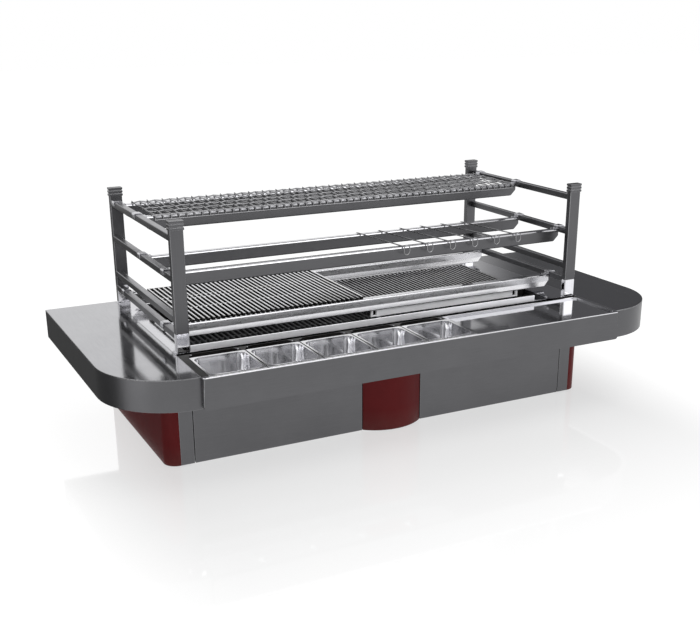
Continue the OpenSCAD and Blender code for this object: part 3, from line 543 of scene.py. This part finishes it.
def post(name):
    """One post, its corners rounded, its foot marked off for the painted reflection"""
    low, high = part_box(name)
    piece = block(name + "_tube", low, high)
    rounded(piece, lambda e: lies_along(e, "Z"), 3, 4)
    rounded(piece, lambda e: near(middle(e).z, low.z), 2, 3)
    bpy.ops.mesh.select_all(action="SELECT")
    bpy.ops.mesh.bisect(plane_co=(0, 0, low.z + POST_FOOT), plane_no=(0, 0, 1))
    outwards(piece)
    return finished(piece, TABLE, [dark_satin["Z"], foot_polish, rubbed_edge],
                    [name], spread=lambda f: 1 if f.center.z < low.z + POST_FOOT else
                    2 if abs(f.normal.x) > 0.2 and abs(f.normal.y) > 0.2 else 0)


def drawn_up(rise, spread=(1, 1)):
    """Extrudes the selected top face upwards, then sideways by the spread"""
    bpy.ops.mesh.extrude_region_move(TRANSFORM_OT_translate={"value": (0, 0, rise)})
    if spread != (1, 1):
        bpy.ops.mesh.extrude_region_move(TRANSFORM_OT_translate={"value": (0, 0, 0)})
        bpy.ops.transform.resize(value=(*spread, 1))


def cap(low, high):
    """One cap, drawn up from its lowest plate: a groove, a plate, a groove, a plate"""
    plate, groove, lip = mm(7), mm(3), mm(2)
    piece = block("cap_model", low, (high.x, high.y, low.z + plate))
    choose(piece, "faces", lambda f: f.normal.z > 0.9)
    wide, deep = high.x - low.x, high.y - low.y
    for _ in range(2):
        bpy.ops.mesh.inset(thickness=lip)
        drawn_up(groove, (wide / (wide - 2 * lip), deep / (deep - 2 * lip)))
        drawn_up(plate)
    outwards(piece)
    return worked(piece, "BEVEL", width=mm(1.3), segments=3, limit_method="ANGLE",
                  angle_limit=math.radians(50))


posts = ["post_front_left", "post_front_right", "post_back_left", "post_back_right"]
for name in posts:
    post(name)
caps_low, caps_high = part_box("post_caps")
CAP_W, CAP_D = mm(44), mm(24)
cap_size = Vector((CAP_W, CAP_D, caps_high.z - caps_low.z))
first_cap = cap(caps_low, caps_low + cap_size)
reach = caps_high - caps_low - cap_size
caps = joined("post_caps_plates", [first_cap] + [
    copied(first_cap, "cap", shift) for shift in
    ((reach.x, 0, 0), (0, reach.y, 0), (reach.x, reach.y, 0))])
finished(caps, TABLE, [dark_satin["X"], rubbed_edge], ["post_caps"],
         spread=lambda f: 1 if 0.25 < abs(f.normal.z) < 0.97 else 0)


# Rails: square tubes, dark on their sides and painted lighter on top, where light from above falls
def rail(name, low, high):
    """One rail with rounded long edges"""
    piece = block(name, low, high)
    rounded(piece, lambda e: lies_along(e, "Y"), 2.6, 3)
    return outwards(piece)


RAIL = mm(20)
RAIL_HEIGHTS = (341, 225, 108, 60)
rail_tops = [top_z + mm(height) for height in RAIL_HEIGHTS]
for side in ("left", "right"):
    low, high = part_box("rails_" + side)
    first = rail("rail", (low.x, low.y, rail_tops[0] - RAIL), (high.x, high.y, rail_tops[0]))
    rails = joined("rails_" + side + "_tubes", [first] + [
        copied(first, "rail", (0, 0, z - rail_tops[0])) for z in rail_tops[1:]])
    # Upward faces take the lighter finish: painted light from above
    finished(rails, TABLE, [dark_satin["Y"], rail_wear], ["rails_" + side],
             spread=lambda f: 1 if f.normal.z > 0.35 else 0)


# Beams: folded channels open to the back, hung from the rails by bent straps
BEAM_H, BEAM_D, BEAM_T, BEAM_CUT = mm(40), mm(28), mm(2), mm(20)
LIP = mm(7)
# The low beams' faces are creased, their lower part kicked out to the front
CREASE, KICK = mm(17), mm(3)
HALF_BEAM = mm(678)


def channel(kick=0.0):
    """The channel of one beam, its lower front corner at y = 0 and z = 0; kick sets the
    upper part of its face back from the foot, behind a crease"""
    nothing_selected()
    bpy.ops.mesh.primitive_plane_add(size=1, location=(0, 0, BEAM_H / 2),
                                     rotation=(math.pi / 2, 0, 0))
    piece = started("channel_model")
    piece.scale = (2 * HALF_BEAM, BEAM_H, 1)
    settled(piece)
    if kick:
        bpy.ops.mesh.select_all(action="SELECT")
        bpy.ops.mesh.bisect(plane_co=(0, 0, CREASE), plane_no=(0, 0, 1))
        choose(piece, "verts", lambda v: v.co.z > CREASE - mm(1))
        bpy.ops.transform.translate(value=(0, kick, 0))
    for level, turn, start in ((BEAM_H, -1, kick), (0, 1, 0)):
        choose(piece, "edges", lambda e: lies_along(e, "X") and near(middle(e).z, level))
        bpy.ops.mesh.extrude_edges_move(
            TRANSFORM_OT_translate={"value": (0, BEAM_D - start, 0)})
        bpy.ops.mesh.extrude_edges_move(TRANSFORM_OT_translate={"value": (0, 0, turn * LIP)})
    rounded(piece, lambda e: lies_along(e, "X") and near(middle(e).y, kick)
            and near(middle(e).z, BEAM_H), 4.5 if kick else 7.5, 6)
    rounded(piece, lambda e: lies_along(e, "X") and near(middle(e).y, 0)
            and near(middle(e).z, 0), 3 if kick else 4.5, 4)
    rounded(piece, lambda e: lies_along(e, "X") and near(middle(e).y, BEAM_D)
            and (near(middle(e).z, 0) or near(middle(e).z, BEAM_H)), 3, 3)
    if kick:
        rounded(piece, lambda e: lies_along(e, "X") and near(middle(e).z, CREASE)
                and near(middle(e).y, kick), 1.2, 2)
    for side in (-1, 1):
        bpy.ops.mesh.select_mode(type="FACE")
        bpy.ops.mesh.select_all(action="SELECT")
        bpy.ops.mesh.bisect(plane_co=(side * HALF_BEAM, 0, BEAM_CUT),
                            plane_no=(side, 0, -1), clear_outer=True)
    bpy.ops.mesh.select_all(action="SELECT")
    bpy.ops.mesh.normals_make_consistent(inside=False)
    shape = bmesh.from_edit_mesh(piece.data)
    web = max((f for f in shape.faces if abs(f.normal.y) > 0.9 and middle(f).y < mm(5)),
              key=lambda f: f.calc_area())
    if web.normal.y > 0:
        bpy.ops.mesh.flip_normals()
    return worked(piece, "SOLIDIFY", thickness=BEAM_T, offset=-1, use_even_offset=True)


HOOK_W, HOOK_T, FIT = mm(25), mm(3), mm(0.3)


def hook():
    """The strap over the left rail: tongue, inner leg, saddle and outer leg, with a rivet"""
    inner = RAIL + FIT
    tongue, drop, leg = mm(16), mm(10) - FIT, mm(12)
    nothing_selected()
    bpy.ops.mesh.primitive_plane_add(size=1, location=(inner + tongue / 2, 0, -drop))
    piece = started("hook_model")
    piece.scale = (tongue, HOOK_W, 1)
    settled(piece)
    at_x, at_z = inner, -drop
    for run, rise in ((0, drop + FIT), (-inner - FIT, 0), (0, -leg - FIT)):
        choose(piece, "edges", lambda e: lies_along(e, "Y") and near(middle(e).x, at_x)
               and near(middle(e).z, at_z))
        bpy.ops.mesh.extrude_edges_move(TRANSFORM_OT_translate={"value": (run, 0, rise)})
        at_x, at_z = at_x + run, at_z + rise
    rounded(piece, lambda e: lies_along(e, "Y") and near(middle(e).z, FIT), 2.6, 4)
    bpy.ops.mesh.select_all(action="SELECT")
    bpy.ops.mesh.normals_make_consistent(inside=False)
    shape = bmesh.from_edit_mesh(piece.data)
    shape.normal_update()
    saddle = max(shape.faces, key=lambda f: middle(f).z)
    if saddle.normal.z < 0:
        bpy.ops.mesh.flip_normals()
    worked(piece, "SOLIDIFY", thickness=HOOK_T, offset=1, use_even_offset=True)
    worked(piece, "BEVEL", width=mm(0.6), segments=2, limit_method="ANGLE",
           angle_limit=math.radians(60))
    nothing_selected()
    bpy.ops.mesh.primitive_cylinder_add(vertices=16, radius=mm(3.2), depth=mm(1.6),
                                        location=(inner + mm(10), 0, HOOK_T - drop))
    rivet = settled(started("rivet"))
    rounded(rivet, lambda e: middle(e).z > HOOK_T - drop
            and near(e.verts[0].co.z, e.verts[1].co.z, 1e-5), 0.7, 3)
    alone(rivet)
    return joined("hook_model", [piece, rivet])


plain_channel, creased_channel, hook_model = channel(), channel(KICK), hook()
over_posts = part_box("rails_left")[0].x
beams = {"top_back": 0, "top_front": 0, "mid_back": 1, "mid_front": 1,
         "low_back": 3, "low_front": 3}
for name, level in beams.items():
    node_name = "beam_" + name
    low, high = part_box(node_name)
    bright = name.startswith("low")
    piece = copied(creased_channel if bright else plain_channel, node_name + "_channel",
                   (0, (low.y + high.y - BEAM_D) / 2, low.z))
    foot = low.z + CREASE
    # Upward faces take the mirror steel, lighter than the faces below: painted light from above;
    # the foot of a low beam's face takes the bright steel: a painted highlight
    finished(piece, node_name,
             [beam_polish if bright else dark_satin["X"], mirror_steel, bright_strip],
             [node_name], spread=lambda f: 1 if f.normal.z > 0.45 else
             2 if bright and f.center.z < foot and f.normal.y < -0.5 else 0)
    y = (low.y + high.y) / 2
    for side, sign in (("left", 1), ("right", -1)):
        strap = copied(hook_model, node_name + "_hook_" + side,
                       turned=Matrix.Translation((sign * over_posts, y, rail_tops[level]))
                       @ Matrix.Diagonal((sign, 1, 1, 1)))
        finished(strap, node_name, [soft_polish])
for model in (plain_channel, creased_channel, hook_model):
    bpy.data.objects.remove(model)


# Wire shelf, woven from crimped wires
def wire(name, points, radius, steps=2):
    """A round wire through points"""
    nothing_selected()
    bpy.ops.curve.primitive_nurbs_path_add()
    piece = started(name)
    piece.data.splines[0].type = "POLY"
    line = piece.data.splines[0].points
    line.add(len(points) - len(line))
    for point, place in zip(line, points):
        point.co = (*place, 1)
    piece.data.bevel_depth = radius
    piece.data.bevel_resolution = steps
    piece.data.use_fill_caps = True
    bpy.ops.object.convert(target="MESH")
    return outwards(bpy.context.active_object)


MESH_R, CRIMP, PITCH, COLS, ROWS = mm(2.2), mm(1.3), mm(25), 52, 4
# The last long wire lies this far inside the shelf's back edge
BACK_ROW = mm(6)
low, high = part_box("mesh_shelf")
hem_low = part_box("mesh_hem")[0].z
shelf_x, shelf_y = low.x + MESH_R, low.y + MESH_R
row_d = (high.y - BACK_ROW - shelf_y) / ROWS
shelf_z = low.z + MESH_R + CRIMP


def cross_wire(name, phase):
    """A wire from the hem's foot over the bend and across the rows, its tip turned up"""
    bend = mm(5)
    points = [(0, shelf_y, hem_low + MESH_R)]
    for i in range(5):
        turn = math.radians(22.5 * i)
        points.append((0, shelf_y + bend * (1 - math.cos(turn)),
                       shelf_z - bend + bend * math.sin(turn)))
    for i in range(2, 8 * ROWS + 1):
        points.append((0, shelf_y + i * row_d / 8,
                       shelf_z + phase * CRIMP * math.cos(math.pi * i / 8)))
    points += [(0, high.y - mm(2), shelf_z + phase * CRIMP + mm(1.5)),
               (0, high.y - mm(1.5), shelf_z + mm(3))]
    return wire(name, points, MESH_R)


def long_wire(name, phase):
    """A wire along the shelf, crimped over and under the cross wires"""
    return wire(name, [(shelf_x + i * PITCH / 6, 0, -phase * CRIMP * math.cos(math.pi * i / 6))
                       for i in range(-1, 6 * COLS + 2)], MESH_R, 1)


crossing = [cross_wire("cross_wire", phase) for phase in (1, -1)]
along = [long_wire("long_wire", phase) for phase in (1, -1)]
woven = [copied(crossing[i % 2], "cross_wire", (shelf_x + i * PITCH, 0, 0))
         for i in range(COLS + 1)]
woven += [copied(along[j % 2], "long_wire", (0, shelf_y + j * row_d, shelf_z))
          for j in range(1, ROWS + 1)]
# One more long wire lies in the bend, and the hem's bar closes its foot
woven.append(copied(along[0], "long_wire", (0, shelf_y + mm(2.5), shelf_z - mm(0.8))))
nothing_selected()
bpy.ops.mesh.primitive_cylinder_add(
    vertices=12, radius=MESH_R, depth=high.x - low.x, rotation=(0, math.pi / 2, 0),
    location=((low.x + high.x) / 2, shelf_y - mm(0.9), hem_low + MESH_R))
hem_bar = settled(started("hem_bar"))
rounded(hem_bar, lambda e: near(abs(middle(e).x - (low.x + high.x) / 2),
                                (high.x - low.x) / 2), 1.2, 2)
alone(hem_bar)
for model in crossing + along:
    bpy.data.objects.remove(model)
shelf = joined("wire_shelf_weave", [hem_bar] + woven)
finished(shelf, "mesh_shelf", [shelf_wire], ["mesh_shelf", "mesh_hem"], 60)


# Cooking grates: rods welded to flat bars
ROD_R, BAR = mm(4), mm(8)
UPPER_RODS, UPPER_PITCH = 36, mm(16)
LOWER_RODS, LOWER_PITCH = 38, mm(15.6)


def rod(name, x, y0, y1, z, tip=True):
    """One rod along Y, its front end rounded over"""
    nothing_selected()
    bpy.ops.mesh.primitive_cylinder_add(vertices=16, radius=ROD_R, depth=y1 - y0,
                                        location=(x, (y0 + y1) / 2, z),
                                        rotation=(math.pi / 2, 0, 0))
    piece = settled(started(name))
    if tip:
        rounded(piece, lambda e: near(middle(e).y, y0) and near(
            e.verts[0].co.y, e.verts[1].co.y, 1e-5), 3.2, 4)
    alone(piece)
    return piece


def bar(name, low, high, ease=1.2):
    """A flat bar between two corners with its edges broken"""
    piece = block(name, low, high)
    bpy.ops.mesh.select_all(action="SELECT")
    bpy.ops.mesh.bevel(offset=mm(ease), segments=2, affect="EDGES")
    alone(piece)
    return piece


def weld(name, x, y, z):
    """A small bead of weld where a rod meets a bar"""
    nothing_selected()
    bpy.ops.mesh.primitive_uv_sphere_add(segments=8, ring_count=6, radius=mm(2.6),
                                         location=(x, y, z))
    piece = started(name)
    piece.scale = (1.5, 0.9, 0.8)
    settled(piece)
    alone(piece)
    return piece


def smoked_below(axis_z, upright):
    """The second finish, painted shade, for faces below the rods' axes and for faces that don't
    look well upwards
    """
    return lambda f: 1 if f.center.z < axis_z - mm(0.5) or f.normal.z < upright else 0


def row_of(count, pitch, first):
    """Copies of a piece in a row along X, in place of it"""
    row = [copied(first, first.name, (i * pitch, 0, 0)) for i in range(count)]
    bpy.data.objects.remove(first)
    return row


# How far the weld beads sit above the rods' axes
BEAD_RISE = mm(1.5)
low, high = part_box("upper_grate")
z = high.z - ROD_R
rods = row_of(UPPER_RODS, UPPER_PITCH, rod("rod", low.x + ROD_R, low.y, high.y - BAR / 2, z))
beads = row_of(UPPER_RODS, UPPER_PITCH,
               weld("bead", low.x + ROD_R, high.y - BAR, z + BEAD_RISE))
third = (high.y - low.y - ROD_R) / 3
frame_bars = [bar("back_bar", (low.x, high.y - BAR, low.z), high),
              bar("side_bar", (high.x - BAR, low.y + ROD_R, low.z), high)]
frame_bars += [bar("tie_bar", (low.x + ROD_R, low.y + ROD_R + k * third, low.z),
                   (high.x - BAR, low.y + ROD_R + k * third + BAR, low.z + ROD_R), 0.8)
               for k in (1, 2)]
# The rods' and bars' tops stay bright; their sides and undersides take painted shade
finished(joined("upper_grate_rods", frame_bars + rods + beads), "upper_grate",
         [bright_rod, smoked_steel], ["upper_grate"], 50, smoked_below(z, 0.72))

low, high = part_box("lower_grate")
z = high.z - ROD_R
rods = row_of(LOWER_RODS, LOWER_PITCH,
              rod("rod", low.x + ROD_R, low.y + mm(1), high.y - BAR / 2, z, False))
beads = row_of(LOWER_RODS, LOWER_PITCH,
               weld("bead", low.x + ROD_R, high.y - BAR, z + BEAD_RISE))
frame_bars = [bar("back_bar", (low.x, high.y - BAR, low.z), high),
              bar("front_bar", (low.x, low.y, low.z), (high.x, low.y + BAR, z))]
frame_bars += [bar("side_bar", (x, low.y, low.z), (x + BAR, high.y, z))
               for x in (low.x, high.x - BAR)]
# The same painted shade on the lower grate's sides and undersides
finished(joined("lower_grate_rods", frame_bars + rods + beads), "lower_grate",
         [used_rod, smoked_steel], ["lower_grate"], 50, smoked_below(z, 0.6))


# Pans: deep drawn, with a rounded floor
RIM_TRIM = mm(1.8)


def drawn_pan(piece):
    """Trims the rim at both sides and rounds the corner between the walls and the floor"""
    own_low = min(v.co.x for v in bmesh.from_edit_mesh(piece.data).verts)
    own_high = max(v.co.x for v in bmesh.from_edit_mesh(piece.data).verts)
    for edge, shift in ((own_low, RIM_TRIM), (own_high, -RIM_TRIM)):
        choose(piece, "verts", lambda v: near(v.co.x, edge))
        bpy.ops.transform.translate(value=(shift, 0, 0))
    low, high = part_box("pan_1")
    for level, radius in ((low.z + mm(1.2), 9), (low.z, 10.2)):
        rounded(piece, lambda e: near(e.verts[0].co.z, level) and near(e.verts[1].co.z, level)
                and len(e.link_faces) == 2 and e.calc_face_angle(0) > 0.7, radius, 4)


for i in range(1, 6):
    name = "pan_%d" % i
    eased(name, name, [pan_steel, bright_strip], 0.45, 2, drawn_pan)


# Skewers: a shaft with a ground point, cranked up to an oval ring
SHAFT_R, RING_R, RING_W, RING_H, CRANK = mm(2), mm(1.6), mm(25), mm(33), mm(6)
GROUND_TIP = mm(14)
FIRST_RING, RING_PITCH, FIRST_TIP, TIP_PITCH = mm(78), mm(84.4), mm(41), mm(81.8)
posts_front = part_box("post_front_left")[0].y
ring_y, tip_y = posts_front + mm(58), posts_front + mm(340)
shaft_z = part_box("beam_mid_front")[0].z + BEAM_H + FIT + SHAFT_R
for number in range(6):
    name = "skewer_%d" % (number + 1)
    ring_x, tip_x = FIRST_RING + number * RING_PITCH, FIRST_TIP + number * TIP_PITCH
    turn = math.atan2(ring_x - tip_x, tip_y - ring_y)
    length = math.hypot(ring_x - tip_x, tip_y - ring_y)
    nothing_selected()
    bpy.ops.mesh.primitive_cylinder_add(vertices=12, radius=SHAFT_R, depth=length - 2 * CRANK,
                                        location=(0, CRANK + length / 2, 0),
                                        rotation=(math.pi / 2, 0, 0))
    shaft = settled(started("shaft"))
    bpy.ops.mesh.select_all(action="SELECT")
    bpy.ops.mesh.bisect(plane_co=(0, length - GROUND_TIP, 0), plane_no=(0, 1, 0))
    choose(shaft, "verts", lambda v: v.co.y > length - mm(1))
    bpy.ops.transform.resize(value=(0.06, 1, 0.06), center_override=(0, length, 0))
    alone(shaft)
    neck = wire("neck", [(0, 0, CRANK), (0, mm(3), CRANK - mm(0.6)),
                         (0, 2 * CRANK - mm(4), mm(1)), (0, 2 * CRANK, 0),
                         (0, 2 * CRANK + mm(3), 0)], RING_R)
    bow, straight = RING_W / 2 - RING_R, RING_H - RING_W
    arc = [(bow * math.cos(t), bow * math.sin(t)) for t in
           [math.pi * k / 12 for k in range(13)]]
    loop = [(x, 0, CRANK - bow + z) for x, z in arc]
    loop += [(-x, 0, CRANK - bow - straight - z) for x, z in arc]
    ring = wire("ring", loop + loop[:1], RING_R)
    piece = joined(name + "_rod", [shaft, neck, ring])
    piece.data.transform(Matrix.Translation((ring_x, ring_y, shaft_z))
                         @ Matrix.Rotation(turn, 4, "Z"))
    finished(outwards(piece), name, [used_rod], [name], 50)

# Stage: a pale floor, soft light and cards that only reflections see
nothing_selected()
bpy.ops.mesh.primitive_plane_add(size=40)
floor = started("floor")
pale = bpy.data.materials.new("pale_floor")
pale.use_nodes = True
tree = pale.node_tree
tree.nodes.remove(tree.nodes["Principled BSDF"])
rays = node(tree, "LightPath")
place = node(tree, "TexCoord").outputs["Object"]
ground = node(tree, "BsdfDiffuse", {"Color": linear("#e8e8e8")})
white = node(tree, "Emission", {"Color": (1, 1, 1, 1), "Strength": 1.32})
sheen = node(tree, "BsdfGlossy", {"Color": (1, 1, 1, 1), "Roughness": 0.05})
mirrored = node(tree, "Math", {0: rays.outputs["Is Camera Ray"],
                               1: rays.outputs["Is Glossy Ray"]}, operation="MAXIMUM")
seen = node(tree, "Math", {0: mirrored.outputs[0], 1: 0.66}, operation="MULTIPLY")
lifted = node(tree, "MixShader", {0: seen.outputs[0], 1: ground.outputs[0],
                                  2: white.outputs[0]})
# The floor's polish shows close to the plinth and fades out over the floor around it, soonest
# to its left and right
PLINTH_HALF = (0.748, 0.3, 1)
beyond = node(tree, "VectorMath", {0: place}, operation="ABSOLUTE")
for step, by in (("SUBTRACT", PLINTH_HALF), ("MAXIMUM", (0, 0, 0)), ("MULTIPLY", (3, 1, 1))):
    beyond = node(tree, "VectorMath", {0: beyond.outputs[0], 1: by}, operation=step)
beyond = node(tree, "VectorMath", {0: beyond.outputs[0]}, operation="LENGTH")
fade = node(tree, "MapRange", {"Value": beyond.outputs["Value"], "From Min": 0,
                               "From Max": 1.2, "To Min": 0.3, "To Max": 0.02})
polish = node(tree, "Math", {0: rays.outputs["Is Camera Ray"], 1: fade.outputs[0]},
              operation="MULTIPLY")
tree.links.new(node(tree, "MixShader", {0: polish.outputs[0], 1: lifted.outputs[0],
                                        2: sheen.outputs[0]}).outputs[0],
               tree.nodes["Material Output"].inputs["Surface"])
floor.data.materials.append(pale)


def card(name, corners, near_tone, far_tone, reach, strength=1.0):
    """A studio card that shows in reflections alone, its tone turning over from its first
    corner towards its second"""
    mesh = bpy.data.meshes.new(name)
    mesh.from_pydata(corners, [], [(0, 1, 2, 3)])
    piece = bpy.data.objects.new(name, mesh)
    scene.collection.objects.link(piece)
    piece.visible_camera = piece.visible_diffuse = False
    piece.visible_shadow = piece.visible_transmission = False
    cloth = bpy.data.materials.new(name)
    cloth.use_nodes = True
    tree = cloth.node_tree
    tree.nodes.remove(tree.nodes["Principled BSDF"])
    start, run = Vector(corners[0]), (Vector(corners[1]) - Vector(corners[0])).normalized()
    place = node(tree, "VectorMath", {0: node(tree, "TexCoord").outputs["Object"], 1: start},
                 operation="SUBTRACT")
    along = node(tree, "VectorMath", {0: place.outputs[0], 1: run}, operation="DOT_PRODUCT")
    turn = node(tree, "MapRange", {"Value": along.outputs["Value"], "From Max": reach},
                interpolation_type="SMOOTHSTEP")
    tone = blend(tree, turn.outputs[0], linear(near_tone), linear(far_tone))
    glow = node(tree, "Emission", {"Color": tone, "Strength": strength})
    back = node(tree, "NewGeometry").outputs["Backfacing"]
    one_sided = node(tree, "MixShader", {0: back, 1: glow.outputs[0],
                                         2: node(tree, "BsdfTransparent").outputs[0]})
    tree.links.new(one_sided.outputs[0], tree.nodes["Material Output"].inputs["Surface"])
    mesh.materials.append(cloth)


card("dark_card_behind_right", [(1.96, 3.08, 0.05), (4.64, 0.31, 0.05), (4.64, 0.31, 3.8),
                                (1.96, 3.08, 3.8)], "#ffffff", "#5c5c5e", 0.8)
card("grey_card_on_the_left", [(-3.0, 0.1, 0.0), (-3.0, 5.0, 0.0), (-3.0, 5.0, 2.6),
                               (-3.0, 0.1, 2.6)], "#8a8a8a", "#8a8a8a", 1)
card("grey_cloth_on_the_left", [(-0.76, 4.5, 0.002), (-3.0, 4.5, 0.002), (-3.0, -0.3, 0.002),
                                (-0.76, -0.3, 0.002)], "#6a6a6a", "#6a6a6a", 1)
card("white_card_at_the_corner", [(-1.54, -0.9, 0.0), (-1.78, -0.25, 0.0), (-1.78, -0.25, 0.35),
                                  (-1.54, -0.9, 0.35)], "#ffffff", "#e0e0e0", 0.7, 1.7)


def soft_box(name, place, aim, width, height, power):
    """A large soft lamp that points at a place"""
    lamp = bpy.data.objects.new(name, bpy.data.lights.new(name, "AREA"))
    scene.collection.objects.link(lamp)
    lamp.data.shape = "RECTANGLE"
    lamp.data.size, lamp.data.size_y, lamp.data.energy = width, height, power
    lamp.location = place
    lamp.rotation_euler = (Vector(aim) - Vector(place)).to_track_quat("-Z", "Y").to_euler()


soft_box("soft_box_above", (0.6, -1.6, 3.4), (0, 0, 0.3), 3.2, 2.2, 46)
soft_box("soft_box_right", (3.2, -2.4, 1.8), (0, 0, 0.3), 1.8, 1.8, 9)

# A white room where it is seen or mirrored, and dimmer as a light
world = bpy.data.worlds.new("studio")
scene.world = world
world.use_nodes = True
tree = world.node_tree
rays = node(tree, "LightPath")
shown = node(tree, "Math", {0: rays.outputs["Is Camera Ray"], 1: rays.outputs["Is Glossy Ray"]},
             operation="MAXIMUM")
shown = node(tree, "Math", {0: shown.outputs[0], 1: rays.outputs["Is Transmission Ray"]},
             operation="MAXIMUM")
strength = node(tree, "MapRange", {"Value": shown.outputs[0], "To Min": 0.62, "To Max": 1.0})
tree.links.new(strength.outputs[0], tree.nodes["Background"].inputs["Strength"])
tree.nodes["Background"].inputs["Color"].default_value = (1, 1, 1, 1)
scene.view_settings.view_transform = "Standard"

bpy.context.view_layer.update()
